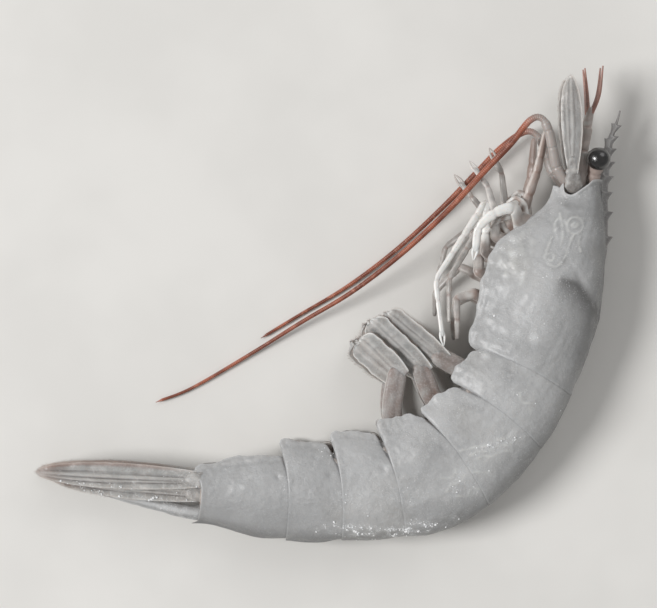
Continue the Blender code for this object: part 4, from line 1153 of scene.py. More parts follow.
def eyePiece(sideName, side):
    root, centre = (place(*np.multiply(eyes[key], (1, 1, side))) for key in ("root", "centre"))
    way = unit(centre - root)
    reach = np.linalg.norm(centre - root) / mm
    t = np.linspace(-1.0, eyes["stalkShare"] * reach, 26)
    stalk = np.interp(t, (-1.0, 1.5, eyes["stalkShare"] * reach), eyes["stalkRadii"])
    deep, middle, wide = eyes["waist"]
    stalk = stalk * (1 - deep * bell(t - middle, wide))
    # the eye itself, a slightly flattened ball that begins with a rim around the stalk
    angle = np.linspace(math.acos(-eyes["rim"]), 0, 44)[:-1]
    along = np.concatenate([t, reach + eyes["radius"] * eyes["short"] * np.cos(angle)])
    radii = np.concatenate([stalk, eyes["radius"] * np.sin(angle)])
    across = unit(np.cross(way, (0, 0, 1.0)))
    turn = fullTurn(eyes["around"])[..., None]
    circle = np.cos(turn) * across + eyes["flat"] * np.sin(turn) * np.cross(way, across)
    rings = (root + along[:, None] * mm * way)[:, None] + radii[:, None, None] * mm * circle
    finish = [int(row >= len(t)) for row in range(len(along) - 1)]
    skin = Skin()
    skin.addRings(rings, {"joint": 0.5, "pink": 0.6}, finish)
    return skin.build(f"eye{sideName.capitalize()}", [limbChitin, cornea], [f"eye_{sideName}"])


antennule = {
    "stem": ((-0.6, 0.4, 2.2), (-6.0, 0.2, 2.0), (-11.0, 0.3, 1.8), (-14.5, 0.4, 1.7)),
    "seams": (5.3, 10.3),
    "radii": ((0, 1.3), (4.8, 1.35), (5.5, 1.05), (10, 1.12), (10.6, 0.9), (13.9, 0.8)),
    "whips": {
        "upper": ((-13.4, 0.6, 1.75), (-18.0, 1.6, 2.4), (-24.0, 1.4, 3.0)),
        "lower": ((-13.4, 0.1, 1.65), (-18.0, -0.9, 1.8), (-23.0, -2.2, 2.2)),
    },
    "whipRadii": (0.45, 0.36, 0.16),
    "sunk": 1.6,  # how far its stem starts inside the head
    "waist": (0.16, 0.25),  # depth and width of the seams
    "tube": (90, 0.8, 24),  # rows, height as a share of the width, and points round it
    "whipRows": 80,
}


def antennulePiece(sideName, side):
    rows, flat, around = antennule["tube"]
    route = place(*(np.array(antennule["stem"]) * (1, 1, side)).T)
    inward = route[0] - antennule["sunk"] * mm * unit(route[1] - route[0])
    route = resample(np.concatenate([[inward], route]), rows)
    at = np.linspace(-antennule["sunk"], antennule["radii"][-1][0], rows)
    seam = nearestOf(at, antennule["seams"])
    deep, wide = antennule["waist"]
    radii = smoothCurve(antennule["radii"])(np.maximum(at, 0)) * (1 - deep * bell(seam, wide)) * mm
    rings = tubeRings(route, radii, flat, around)
    spread = relief(rings, 1.8, 31)
    skin = Skin()
    skin.addRings(rings, {
        "joint": bell(padEnds(seam), 0.3)[:, None], "pink": np.clip(0.45 + 0.3 * spread, 0, 1),
        "white": 0.1, "rim": 0.4 * ramp(spread, 0.5, 1.4),
    })
    return skin.build(f"antennule{sideName.capitalize()}", [limbChitin], [f"antennule_{sideName}"])


for sideName, side in sides.items():
    eyePiece(sideName, side)
    antennulePiece(sideName, side)
print("eyes and antennules")


blades = {
    # of the fins, paddles and scales; bands and lines are as (height or depth, width), in mm
    "grid": (0.3, 0.22),  # spacing of the rows and columns
    "wall": (0.3, 1.6, 0.35),  # share of the thickness at the margins, their width, thinning to the tip
    "rib": (0.1, 0.32),
    "fold": (0.2, 0.17),
    "lumps": ((1, 0.05, 2.5), (2, 0.03, 0.9)),  # (seed, height, size) of the unevenness
    "margin": 2.5,  # width of the ruffled margins
    "rim": 0.3,  # and of their pale line
    "articleRows": 24,  # rows of the article a blade grows from, whose radii are as (row, radius)
}


def bladeGrid(sizes):
    # a blade's middle surface in mm from its station: points, the unit normal, t along it and x across it
    root, tip = (np.array(sizes[key], float) for key in ("root", "tip"))
    across = unit(np.array(sizes["across"], float))
    along = tip - root
    length = float(np.linalg.norm(along))
    normal = unit(np.cross(along, across))
    start, widest = sizes.get("rootShare", 0.45), sizes.get("widest", 0.55)
    rowStep, columnStep = blades["grid"]
    rows, columns = int(length / rowStep), 2 * int(0.5 * sizes["width"] / columnStep) + 1
    t = np.sin(np.linspace(0, 0.5 * math.pi, rows))[:, None]
    x = np.sin(np.linspace(-0.5, 0.5, columns) * math.pi)[None]
    rising = start + (1 - start) * np.sin(0.5 * math.pi * np.minimum(t / widest, 1))
    over = np.clip((t - widest) / (1 - widest), 0, 1)
    half = np.where(t < widest, rising, np.sqrt(np.maximum(1 - over ** sizes["square"], 0.004)))
    lengthwise = np.stack((t * length * mm, 0 * t, 0 * t), -1)
    crosswise = np.stack((x * sizes["width"] * mm, 0 * x, 0 * x), -1)
    half = half * (1 + sizes.get("ragged", 0.0) * relief(lengthwise, 1.6, 4) * t)
    torn = 0.5 * relief(crosswise, 1.1, 6) - 0.5 * x * x
    reach = t + sizes.get("frayed", 0.0) / length * torn * t**12
    local = root + along * reach[..., None] + across * (0.5 * sizes["width"] * half * x)[..., None]
    local = local + normal * (sizes["arch"] * half * (1 - x * x))[..., None]
    return local, normal, t + 0 * x, x + 0 * t, half + 0 * x, length


def fringe(station, local, normal, t, hairs, seed):
    # hairs along a blade's free margins
    spacing, long, fromT = hairs
    first = int(np.searchsorted(t[:, 0], fromT))
    line = np.concatenate([local[first:, 0], local[-1, 1:-1], local[first:, -1][::-1]])
    count = int(np.linalg.norm(np.diff(line, axis=0), axis=1).sum() / spacing)
    line = resample(line, count)
    along = unit(local[-1, local.shape[1] // 2] - local[0, local.shape[1] // 2])
    out = unit(np.cross(np.gradient(line, axis=0), normal))
    if ((line - local[first:].mean((0, 1))) * out).sum() < 0:
        out = -out
    draw = np.random.default_rng(seed)
    way = unit(out + 0.9 * along + 0.3 * draw.normal(size=out.shape))
    root, end = placeFrom(station, np.stack((line, line + way)))
    way = unit(end - root)
    bristles["at"].append(root - 0.1 * mm * way)
    bristles["way"].append(way)
    bristles["long"].append(long * draw.uniform(0.5, 1.15, count))


def addBlade(skin, station, sizes, look, seed):
    local, normal, t, x, half, length = bladeGrid(sizes)
    points = local * mm
    halfWide = half * sizes["width"] * 0.5
    margin = np.minimum((1 - np.abs(x)) * halfWide, (1 - t) * length)  # mm from the free margins
    creased = look.get("creased", 1.0)

    def lengthLines(offsets, share, width):
        # lines along the blade, at shares of its half width, that draw together towards the root
        strokes = [bell((x - offset * (1 - share + share * t)) * halfWide, width) for offset in offsets]
        return np.max(strokes, axis=0)

    ribHeight, ribWidth = blades["rib"]
    foldDepth, foldWidth = blades["fold"]
    ribs = lengthLines(look["ribs"], 0.5, ribWidth)
    folds = lengthLines(look["folds"], 0.4, foldWidth) * ramp(t, 0.02, 0.12) * (1 - ramp(t, 0.8, 0.98))
    ruffle = look["ruffle"] * relief(points * (1, 1, 0.2), look["ruffleSize"], seed)
    ruffle = ruffle * ramp(blades["margin"] - margin, 0, blades["margin"]) * ramp(t, 0.1, 0.4)
    fine = look["fine"] * np.sin(x * look["fineCount"] * math.pi) * ramp(t, 0.15, 0.5)
    lumps = sum(height * relief(points, size, seed + i) for i, height, size in blades["lumps"])
    raised = ruffle + look["droop"] * ramp(t, 0.55, 1.0) ** 2 * x + lumps - foldDepth * creased * folds
    face = local + normal * raised[..., None]
    edgeShare, edgeWidth, taper = blades["wall"]
    thick = 0.5 * sizes["thickness"] * (edgeShare + (1 - edgeShare) * ramp(margin, 0.0, edgeWidth))
    thick = thick * (1 - taper * t) + ribHeight * ribs * (1 - 0.6 * t)
    fringe(station, face, normal, t, look["hairs"], seed)
    # brown at the root, along one margin and at the tip; frost at the root, and at the other margin a glint,
    # painted white in the frost mark as a painted highlight
    spread = relief(points, 3, seed + 3)
    brown = look["brown"] * (np.exp(-t * length / 3) + 0.4 * ramp(spread, 0.2, 1.6))
    brown += 0.9 * ramp(look.get("brownSide", 0) * x, 0.55, 0.97) * ramp(t, 0.05, 0.3)
    brown += look["tipBrown"] * ramp(t, 0.7, 1.0)
    crust = look["frost"] * (ramp(relief(points, 1.6, seed + 5), 0.4, 1.4) + 1.5 * bell(t * length - 3, 4))
    glint = bell(margin - 0.4, 0.5) * (x > 0) * ramp(t, 0.1, 0.25) * (1 - ramp(t, 0.75, 0.95))
    glint = look.get("glint", 0.0) * glint * ramp(relief(points, 1.3, seed + 6), -0.3, 0.9)
    creases = 0.3 * ramp(relief(points * (0.25, 1, 1), 1.4, seed + 4), 0.9, 1.9)
    upper, lower = (placeFrom(station, face + normal * (fine + turn * thick)[..., None]) for turn in (1, -1))
    skin.addSheet(upper, lower, {
        "rim": np.clip(bell(margin, blades["rim"]) * look["rim"], 0, 1),
        "rib": np.clip(0.8 * ribs + 3 * fine, 0, 1),
        "brown": np.clip(brown, 0, 1), "dim": look.get("dim", 0.0) * (0.7 + 0.3 * ramp(spread, -1, 1)),
        # painted shade in the folds' grooves, with random darker streaks
        "fold": np.clip(creased**0.5 * folds + creases, 0, 1), "frost": crust + glint,
    })


def addArticle(skin, station, root, article, side, seed):
    # the short stout article that a blade grows from
    rows = blades["articleRows"]
    path = softLine(root + np.multiply(article["path"], (1, 1, side)), rows)
    radii = np.interp(range(rows), *zip(*article["radii"])) * mm
    rings = tubeRings(placeFrom(station, path), radii, article["flat"], article["around"])
    spread = relief(rings, 1.5, seed)
    centre = rings.mean(1, keepdims=True)
    rings = centre + (rings - centre) * (1 + article["crumple"] * spread)[..., None]
    rim, rimFrom = article["rim"]
    # painted shade where the article is crumpled in
    skin.addRings(rings, {
        "rim": rim * ramp(spread, rimFrom, 1.2), "fold": article["fold"] * ramp(-spread, 0.3, 1.3),
        **article["marks"],
    })


def mirrored(sizes, side):
    # a blade's sizes on one side of the body
    turned = {key: np.multiply(sizes[key], (1, 1, side)) for key in ("root", "tip", "across")}
    return {**sizes, **turned, "arch": side * sizes["arch"]}


fan = {
    "outer": {"root": (0.35, -2.2, 4.4), "tip": (34.2, -3.2, 3.6), "across": (0, 1, 0.12), "width": 5.4},
    "inner": {"root": (0.35, 0.9, 2.9), "tip": (31.0, -1.9, 1.9), "across": (0, 1, 0), "width": 5.2},
    "blade": {
        "arch": -0.5, "thickness": 0.6, "widest": 0.48, "rootShare": 0.64, "square": 2.2, "ragged": 0.02,
    },
    "article": {
        "path": ((-3.0, 0.4, -0.7), (-0.8, 0.1, -0.1), (1.2, 0, -0.1)),
        "radii": ((0, 1.7), (12, 1.85), (23, 1.5)),
        "flat": 0.42, "around": 28, "crumple": 0.05, "rim": (0.25, 0.3), "fold": 0.3,
        "marks": {"brown": 0.1, "frost": 0.15},
    },
    "looks": {
        "outer": {
            "ribs": (0.1, 0.52), "folds": (-0.24, 0.32, 0.7), "ruffle": 0.16, "ruffleSize": 5.0,
            "droop": 0.1, "fine": 0.015, "fineCount": 9, "rim": 0.35, "brown": 0.12, "brownSide": -1,
            "tipBrown": 0.6, "frost": 0.12, "glint": 0.5,
            "hairs": (0.16, 0.7, 0.4),  # spacing, length, and the share of the blade where they begin
        },
        "inner": {
            "ribs": (-0.1, 0.4), "folds": (0.12, 0.62), "ruffle": 0.16, "ruffleSize": 5.0, "droop": 0.1,
            "fine": 0.015, "fineCount": 8, "rim": 0.45, "brown": 0.1, "tipBrown": 0.6, "frost": 0.16,
            "glint": 0.9, "hairs": (0.16, 0.7, 0.4),
        },
    },
}

telson = {
    "length": 24.0, "gap": 0.35, "sunk": 1.6, "tip": 2.0,
    "centre": ((0, 4.9), (9, 3.4), (19, 1.4), (24, 0.5)),
    "halfWidth": ((0, 2.5), (9, 2.0), (19, 1.1), (24, 0.3)),
    "halfHeight": ((0, 1.5), (9, 1.2), (19, 0.75), (24, 0.22)),
    "groove": (0.45, 0.55),  # depth and width of the groove along its back
    "ridges": (0.14, 1.0, 0.35),  # height, distance from the middle and width of the ridges beside it
    "around": 56,
}


def telsonPiece():
    shoulder = telson["length"] - telson["tip"]
    ending = telson["length"] - telson["tip"] * np.cos(np.linspace(0, 0.5 * math.pi, 12))[1:]
    run = np.concatenate([np.linspace(-telson["sunk"], shoulder, 80), ending])
    centre, wide, high = (smoothCurve(telson[key])(run) for key in ("centre", "halfWidth", "halfHeight"))
    end = np.sqrt(np.clip(1 - np.clip((run - shoulder) / telson["tip"], 0, 1) ** 2, 0.02, 1))
    wide, high = wide * (1 - 0.12 * ramp(-run, 0, telson["sunk"])), high * np.where(run > shoulder, end, 1)
    turn = fullTurn(telson["around"])
    c, d = np.cos(turn), np.sin(turn)
    run = run[:, None]
    w = wide[:, None] * np.sign(c) * np.abs(c) ** 0.85
    v = high[:, None] * np.sign(d) * np.abs(d) ** 0.9
    grooveDepth, grooveWidth = telson["groove"]
    ridgeHeight, ridgeOff, ridgeWidth = telson["ridges"]
    groove = bell(w, grooveWidth) * (d > 0) * ramp(run, 1, 5) * (1 - ramp(run, 17, 23))
    ridges = bell(np.abs(w) - ridgeOff, ridgeWidth) * (d > 0) * (1 - ramp(run, 14, 22))
    v = v + centre[:, None] - grooveDepth * groove + ridgeHeight * ridges
    s = tail + telson["gap"] + run + 0 * v
    points = place(s, v, w)
    skin = Skin()
    skin.addRings(place(s, v + 0.05 * relief(points, 2, 51), w), {
        # painted shade: darker towards its back and in the groove along it
        "keel": 0.3 + 0.4 * ramp(d, 0, 1), "rim": np.clip(ridges + bell(np.abs(c) - 1, 0.06) * 0.5, 0, 1),
        "stain": 0.35 * groove, "inside": 0.25 * ramp(-d, 0, 1),
        "frost": 0.9 * bell(run - 4, 5) * ramp(relief(points, 2, 52), -0.6, 1.0),
    })
    return skin.build("telsonPlate", [cuticle], ["telson"])


def uropodPiece(kind, sideName, seed):
    side = sides[sideName]
    sizes = mirrored({**fan[kind], **fan["blade"]}, side)
    skin = Skin()
    addBlade(skin, tail, sizes, fan["looks"][kind], seed)
    addArticle(skin, tail, sizes["root"], fan["article"], side, seed + 8)
    name = f"uropod{kind.capitalize()}{sideName.capitalize()}"
    return skin.build(name, [finChitin], [f"uropod_{kind}_{sideName}"])


telsonPiece()
fanPieces = []
for kind in ("outer", "inner"):
    for sideName in sides:
        fanPieces.append(uropodPiece(kind, sideName, 200 + 10 * len(fanPieces)))
print("tail fan:", 1 + len(fanPieces), "pieces")


scale = {
    "root": (-0.9, -1.4, 4.8), "tip": (-20.5, -5.2, 6.4), "across": (0, 0.78, 0.62), "width": 5.4,
    "thickness": 0.6, "arch": 0.5, "square": 2.0,
    "article": {
        "path": ((2.6, 0.6, -0.8), (0.3, 0, 0), (-2.4, -0.5, 0.2)),
        "radii": ((0, 1.9), (23, 1.0)),
        "flat": 0.55, "around": 24, "crumple": 0.09, "rim": (0.35, 0.2), "fold": 0.5,
        # painted shade: the scale and its article are painted darker grey
        "marks": {"brown": 0.12, "frost": 0.1, "dim": 0.35},
    },
    "look": {
        "ruffle": 0.1, "ruffleSize": 5.0, "droop": 0.0, "ribs": (-0.62, -0.05), "folds": (-0.36, 0.3),
        "fine": 0.012, "fineCount": 7, "rim": 0.7, "brown": 0.1, "tipBrown": 0.0, "frost": 0.02,
        "creased": 0.5, "hairs": (0.2, 0.6, 0.25), "dim": 0.85,
    },
}


def scalePiece(sideName, side):
    sizes = mirrored(scale, side)
    skin = Skin()
    addBlade(skin, 0, sizes, scale["look"], 300 + side)
    addArticle(skin, 0, sizes["root"], scale["article"], side, 310 + side)
    name = f"antennalScale{sideName.capitalize()}"
    return skin.build(name, [finChitin], [f"antennal_scale_{sideName}"])


for sideName, side in sides.items():
    scalePiece(sideName, side)
print("antennal scales")


swimmerets = {
    # place of the roots along the body and off the midline; length, lean and splay of stem and paddle
    "pairs": {
        1: {"root": (48.6, 4.2), "stem": (6.2, -6, 8), "paddle": (15.0, 5, 6.5), "width": 4.6},
        2: {"root": (61.0, 3.6), "stem": (8.8, 16, 7), "paddle": (15.2, -7, 7), "width": 5.2},
        3: {"root": (75.0, 3.1), "stem": (12.8, 18, 14), "paddle": (11.0, -30, 2), "width": 6.0},
        4: {"root": (80.6, 2.2), "stem": (3.8, -88, 0), "paddle": (4.8, -92, 0), "width": 3.2},
        5: {"root": (91.6, 2.2), "stem": (3.6, -89, 0), "paddle": (4.4, -92, 0), "width": 3.0},
    },
    # those that hang open, and those folded under the tail
    "open": {"stemRadii": (1.6, 2.05, 2.1, 2.0), "stemFlat": 0.46, "turn": -25, "tilt": 1.6},
    "folded": {"stemRadii": (1.0, 1.1, 1.1, 0.9), "stemFlat": 0.8, "turn": 90, "tilt": 1.1},
    "inner": (0.6, 1.8, -0.3),  # from the root to where the stem starts inside the belly
    "bow": {3: 1.1, 2: 0.4},  # how far a stem is bent towards the tail
    "lag": 3,  # degrees by which those on the far side lie behind
    "spread": 1.18,  # the soft paddles lie a little wider than their stiff middle
    "sunk": 1.0,
    "innerShare": 0.6,  # size of the inner paddle of a pair, and how far inward it lies
    "innerInset": 3.2,
    "stemGrid": (60, 32),  # rows along a stem and points round it
    "blade": {
        "arch": 0.2, "thickness": 0.45, "rootShare": 0.72, "widest": 0.4, "square": 12.0, "ragged": 0.05,
        "frayed": 0.6,
    },
    "dim": {1: 0.45, 2: 0.1},  # the foremost ones are painted darker grey, a painted shade
    "look": {
        "ruffle": 0.09, "ruffleSize": 4.0, "droop": 0.2, "ribs": (-0.5, -0.1, 0.55), "folds": (-0.3, 0.25),
        "fine": 0.018, "fineCount": 9, "rim": 1.0, "brown": 0.24, "tipBrown": 0.0, "frost": 0.08,
        "creased": 0.15, "hairs": (0.14, 0.8, 0.3),
    },
}


def swimmeretPiece(number, sideName, side):
    sizes = swimmerets["pairs"][number]
    station, offset = sizes["root"]
    folded = sizes["paddle"][1] < -45
    state = swimmerets["folded" if folded else "open"]

    def stretch(length, leanDegrees, splayDegrees):
        lean = math.radians(leanDegrees - (swimmerets["lag"] if side < 0 else 0))
        splay = math.radians(splayDegrees)
        down, out = math.cos(lean) * math.cos(splay), math.cos(lean) * math.sin(splay)
        return length, lean, np.array((-math.sin(lean), -down, side * out))

    stemLength, stemLean, stemWay = stretch(*sizes["stem"])
    length, lean, way = stretch(*sizes["paddle"])
    turn = math.radians(state["turn"])
    across = (math.cos(turn) * math.cos(lean), -math.cos(turn) * math.sin(lean), side * math.sin(turn))
    depth = float(bellyDepth(station)) + 1.0 + state["tilt"] * abs(math.sin(stemLean))
    root = np.array((0, -depth, side * offset))
    stemEnd = root + stemWay * stemLength
    start, tip = stemEnd - way * swimmerets["sunk"], stemEnd + way * length
    bowed = root + 0.45 * (stemEnd - root) + (swimmerets["bow"].get(number, 0.0), 0, 0)
    inside = root + np.multiply(swimmerets["inner"], (1, 1, side))
    rows, around = swimmerets["stemGrid"]
    path = softLine([inside, root, bowed, stemEnd + 0.25 * way], rows)
    t = np.linspace(0, 1, rows)
    radii = np.interp(t, (0, 0.3, 0.7, 1), state["stemRadii"]) * (1 - 0.12 * bell(t - 0.3, 0.04))
    rings = tubeRings(placeFrom(station, path), radii * mm, state["stemFlat"], around)
    # the stem is boxy, with a shallow gutter along it
    c, d = np.cos(fullTurn(around)), np.sin(fullTurn(around))
    centre = rings.mean(1, keepdims=True)
    rings = centre + (rings - centre) * ((c**4 + d**4) ** -0.18 * (1 - 0.1 * bell(c - 0.2, 0.25)))[..., None]
    skin = Skin()
    # painted shade along its gutter
    skin.addRings(rings, {
        "rim": 0.9 * bell(np.abs(c) - 1, 0.1), "fold": 0.4 * bell(c - 0.2, 0.15),
        "brown": 0.48 + 0.2 * relief(rings, 2.5, number), "frost": 0.1,
    })
    paddles = [(start, tip, sizes["width"])]
    if number > 1 and not folded:
        inward = np.array((0, 0, -side * swimmerets["innerInset"]))
        share = swimmerets["innerShare"]
        innerTip = start + share * (tip - start) + inward
        paddles.append((start + 0.12 * inward, innerTip, share * sizes["width"]))
    look = dict(swimmerets["look"], dim=swimmerets["dim"].get(number, 0.0))
    for i, (low, high, wide) in enumerate(paddles):
        blade = dict(swimmerets["blade"], root=low, tip=high, across=across)
        blade["width"] = swimmerets["spread"] * wide
        blade["arch"] *= side
        addBlade(skin, station, blade, look, 400 + 10 * number + side + 5 * i)
    name = f"swimmeret{number}{sideName.capitalize()}"
    return skin.build(name, [finChitin], [f"swimmeret_{number}_{sideName}"])


for number in swimmerets["pairs"]:
    for sideName, side in sides.items():
        swimmeretPiece(number, sideName, side)
print("swimmerets:", 2 * len(swimmerets["pairs"]))


feelers = {
    # points as x and y in mm from the orbit, and height above the ground
    "left": (
        (-4.5, 2.1, 13.4), (-5.4, 5.8, 14.2), (-6.3, 9.6, 14.8), (-7.8, 12.4, 15), (-10.3, 11.9, 15),
        (-14.3, 7, 14.9), (-19.5, 1.6, 14.6), (-27.3, -6.8, 12.6), (-36.7, -15.6, 9), (-47.1, -23.6, 5.4),
        (-57.6, -29.9, 2.8), (-68, -36.4, 1.2), (-80.9, -43.9, 0.8), (-88.7, -47, 0.8),
    ),
    "right": (
        (-4.9, 2, 5.6), (-6, 5.4, 5), (-7.8, 9.2, 4.6), (-10.6, 10.2, 4.4), (-15.4, 7, 4.2),
        (-20.4, 2, 3.8), (-28.2, -6, 3), (-37.6, -14.6, 1.4), (-48, -22.4, 0.7), (-58.4, -28.6, 0.7),
        (-66.4, -33.4, 0.7),
    ),
    "inside": {"left": (-1.6, -1.6, 12.4), "right": (-1.6, -1.8, 6.6)},  # where the stems start in the head
    "rows": 700,
    "stemShare": 0.09,  # of its length
    "stemRadius": 1.25,
    "stemTaper": 0.22,
    "waist": (0.1, 0.2),  # depth and width of the seams, as a share of the radius and in mm
    "seams": (0.34, 0.62, 0.86, 1.0),  # of the stem, as shares of its length
    "whipRadii": (0.72, 0.3),
    # spacing of the whips' rings, and height as a share of the radius, and the same for the antennules
    "rings": {"Pitch": 0.42 * mm, "Depth": 0.05},
    "smallRings": {"Pitch": 0.4 * mm, "Depth": 0.05},
}


def newTree(name, inputs):
    # an empty geometry tree with a geometry going through and named inputs
    tree = bpy.data.node_groups.new(name, "GeometryNodeTree")
    for key, kind in {"Geometry": "Geometry", **inputs}.items():
        tree.interface.new_socket(key, in_out="INPUT", socket_type=f"NodeSocket{kind}")
    tree.interface.new_socket("Geometry", in_out="OUTPUT", socket_type="NodeSocketGeometry")
    return tree, addNode(tree, "NodeGroupInput").outputs


def finishTree(tree, geometry, given):
    smooth = addNode(tree, "GeometryNodeSetShadeSmooth", {0: geometry})
    real = addNode(tree, "GeometryNodeRealizeInstances", {0: smooth})
    painted = addNode(tree, "GeometryNodeSetMaterial", {"Geometry": real, "Material": given["Material"]})
    addNode(tree, "NodeGroupOutput", {0: painted})
    return tree


def grow(name, mesh, tree, values, replaced=()):
    # runs a tree on a carrier mesh and keeps the result as a plain mesh
    holder = linked(name + "Path", mesh)
    modifier = holder.modifiers.new("grow", "NODES")
    modifier.node_group = tree
    for key, value in values.items():
        socket = next(item.identifier for item in tree.interface.items_tree if item.name == key)
        modifier[socket] = value
    graph = bpy.context.evaluated_depsgraph_get()
    made = bpy.data.meshes.new_from_object(
        holder.evaluated_get(graph), preserve_all_data_layers=True, depsgraph=graph)
    bpy.data.objects.remove(holder)
    made.materials.clear()
    made.materials.append(values["Material"])
    made.polygons.foreach_set("material_index", np.zeros(len(made.polygons), np.int32))
    made.name = name
    return settle(name, made, replaced)


def lineMesh(name, paths, marks):
    # a mesh of loose lines, with one number, or vector, per point for each mark
    edges, count = [], 0
    for path in paths:
        edges += [(count + i, count + i + 1) for i in range(len(path) - 1)]
        count += len(path)
    mesh = bpy.data.meshes.new(name)
    mesh.from_pydata(np.concatenate(paths), edges, [])
    for key, values in marks.items():
        storeMark(mesh, key, np.concatenate(values))
    return mesh


def whipTree():
    # a ringed whip: the path is cut into short steps, and its radius swells once in every pitch
    tree, given = newTree("ringedWhip", {"Pitch": "Float", "Depth": "Float", "Material": "Material"})
    ringed, thick = (addNode(tree, "GeometryNodeInputNamedAttribute", {"Name": name}, data_type="FLOAT")
                     for name in ("ringed", "thick"))
    curve = addNode(tree, "GeometryNodeMeshToCurve", {"Mesh": given["Geometry"]})
    step = addNode(tree, "ShaderNodeMath", {0: given["Pitch"], 1: 6.0}, operation="DIVIDE")
    fine = addNode(tree, "GeometryNodeResampleCurve", {"Curve": curve, "Length": step}, mode="LENGTH")
    run = addNode(tree, "GeometryNodeSplineParameter").outputs["Length"]
    turns = addNode(tree, "ShaderNodeMath", {0: run, 1: given["Pitch"]}, operation="DIVIDE")
    angle = addNode(tree, "ShaderNodeMath", {0: turns, 1: 2 * math.pi}, operation="MULTIPLY")
    wave = addNode(tree, "ShaderNodeMath", {0: angle}, operation="COSINE")
    depth = addNode(tree, "ShaderNodeMath", {0: given["Depth"], 1: ringed}, operation="MULTIPLY")
    swell = addNode(tree, "ShaderNodeMath", {0: wave, 1: depth, 2: 1.0}, operation="MULTIPLY_ADD")
    size = addNode(tree, "ShaderNodeMath", {0: swell, 1: thick}, operation="MULTIPLY")
    valley = addNode(tree, "ShaderNodeMapRange", {"Value": wave, "From Min": 0.2, "From Max": -1.0})
    groove = addNode(tree, "ShaderNodeMath", {0: valley, 1: ringed}, operation="MULTIPLY")
    kept = addNode(tree, "GeometryNodeStoreNamedAttribute", {
        "Geometry": fine, "Name": "groove", "Value": groove,
    }, data_type="FLOAT", domain="POINT")
    section = addNode(tree, "GeometryNodeCurvePrimitiveCircle", {"Resolution": 12, "Radius": 1.0})
    solid = addNode(tree, "GeometryNodeCurveToMesh", {
        "Curve": kept, "Profile Curve": section, "Scale": size, "Fill Caps": True,
    })
    return finishTree(tree, solid, given)


def frostTree():
    # scatters crystals over a carrier, as thick as its frost mark says, each one turned and sized at random
    tree, given = newTree("scatteredIce", {
        "Density": "Float", "Smallest": "Float", "Largest": "Float", "Seed": "Int", "Material": "Material",
    })
    mark = addNode(tree, "GeometryNodeInputNamedAttribute", {"Name": "frost"}, data_type="FLOAT")
    steep = addNode(tree, "ShaderNodeMath", {0: mark, 1: 2.0}, operation="POWER")
    dense = addNode(tree, "ShaderNodeMath", {0: steep, 1: given["Density"]}, operation="MULTIPLY")
    grains = addNode(tree, "GeometryNodeDistributePointsOnFaces", {
        "Mesh": given["Geometry"], "Density": dense, "Seed": given["Seed"],
    })
    crystal = addNode(tree, "GeometryNodeMeshIcoSphere", {"Radius": 1.0, "Subdivisions": 1})
    chance = addNode(tree, "FunctionNodeRandomValue", {"Seed": given["Seed"]}, data_type="FLOAT")
    few = addNode(tree, "ShaderNodeMath", {0: chance.outputs[1], 1: 3.0}, operation="POWER")
    size = addNode(tree, "ShaderNodeMapRange", {
        "Value": few, "To Min": given["Smallest"], "To Max": given["Largest"],
    })
    uneven = addNode(tree, "FunctionNodeRandomValue", {0: (0.6, 0.6, 0.6), 1: (1.5, 1.5, 1.5), "Seed": 3},
                     data_type="FLOAT_VECTOR")
    shape = addNode(tree, "ShaderNodeVectorMath", {0: uneven, "Scale": size}, operation="SCALE")
    turn = addNode(tree, "FunctionNodeRandomValue", {1: (6.28, 6.28, 6.28), "Seed": 4},
                   data_type="FLOAT_VECTOR")
    placed = addNode(tree, "GeometryNodeInstanceOnPoints", {
        "Points": grains, "Instance": crystal, "Rotation": turn, "Scale": shape,
    })
    return finishTree(tree, placed, given)


def frostPiece():
    # the carrier is made of the shell's outer faces that bear frost
    vertices, faces, marks, count = [], [], [], 0
    for piece in shellPieces + fanPieces:
        mesh = piece.data
        points = np.empty(len(mesh.vertices) * 3, np.float32)
        mesh.vertices.foreach_get("co", points)
        values, hidden = np.empty((2, len(mesh.vertices)), np.float32)
        mesh.attributes["frost"].data.foreach_get("value", values)
        mesh.attributes["inside"].data.foreach_get("value", hidden)
        corners = np.array([face.vertices for face in mesh.polygons if len(face.vertices) == 4])
        lifted = points[2::3][corners].min(1) > frost["lowest"] * mm
        frosted = (values[corners].max(1) > 0.05) & (hidden[corners].max(1) < 0.1)
        faces.append(corners[frosted & lifted] + count)
        vertices.append(points.reshape(-1, 3))
        marks.append(values)
        count += len(values)
    carrier = bpy.data.meshes.new("frostCarrier")
    carrier.from_pydata(np.concatenate(vertices), [], np.concatenate(faces).tolist())
    storeMark(carrier, "frost", np.concatenate(marks))
    smallest, largest = frost["grain"]
    return grow("frostGrains", carrier, frostTree(), {
        "Density": frost["density"], "Smallest": smallest * mm, "Largest": largest * mm, "Seed": 5,
        "Material": ice,
    })


def bristleTree():
    # a tapering hair on every point, along its way
    tree, given = newTree("fringeHairs", {"Thickness": "Float", "Material": "Material"})
    way = addNode(tree, "GeometryNodeInputNamedAttribute", {"Name": "way"}, data_type="FLOAT_VECTOR")
    long = addNode(tree, "GeometryNodeInputNamedAttribute", {"Name": "long"}, data_type="FLOAT")
    hair = addNode(tree, "GeometryNodeMeshCone", {
        "Vertices": 4, "Radius Top": 0.12, "Radius Bottom": 1.0, "Depth": 1.0,
    })
    turn = addNode(tree, "FunctionNodeAlignRotationToVector", {"Vector": way}, axis="Z")
    thick = given["Thickness"]
    size = addNode(tree, "ShaderNodeCombineXYZ", {"X": thick, "Y": thick, "Z": long})
    placed = addNode(tree, "GeometryNodeInstanceOnPoints", {
        "Points": given["Geometry"], "Instance": hair, "Rotation": turn, "Scale": size,
    })
    return finishTree(tree, placed, given)


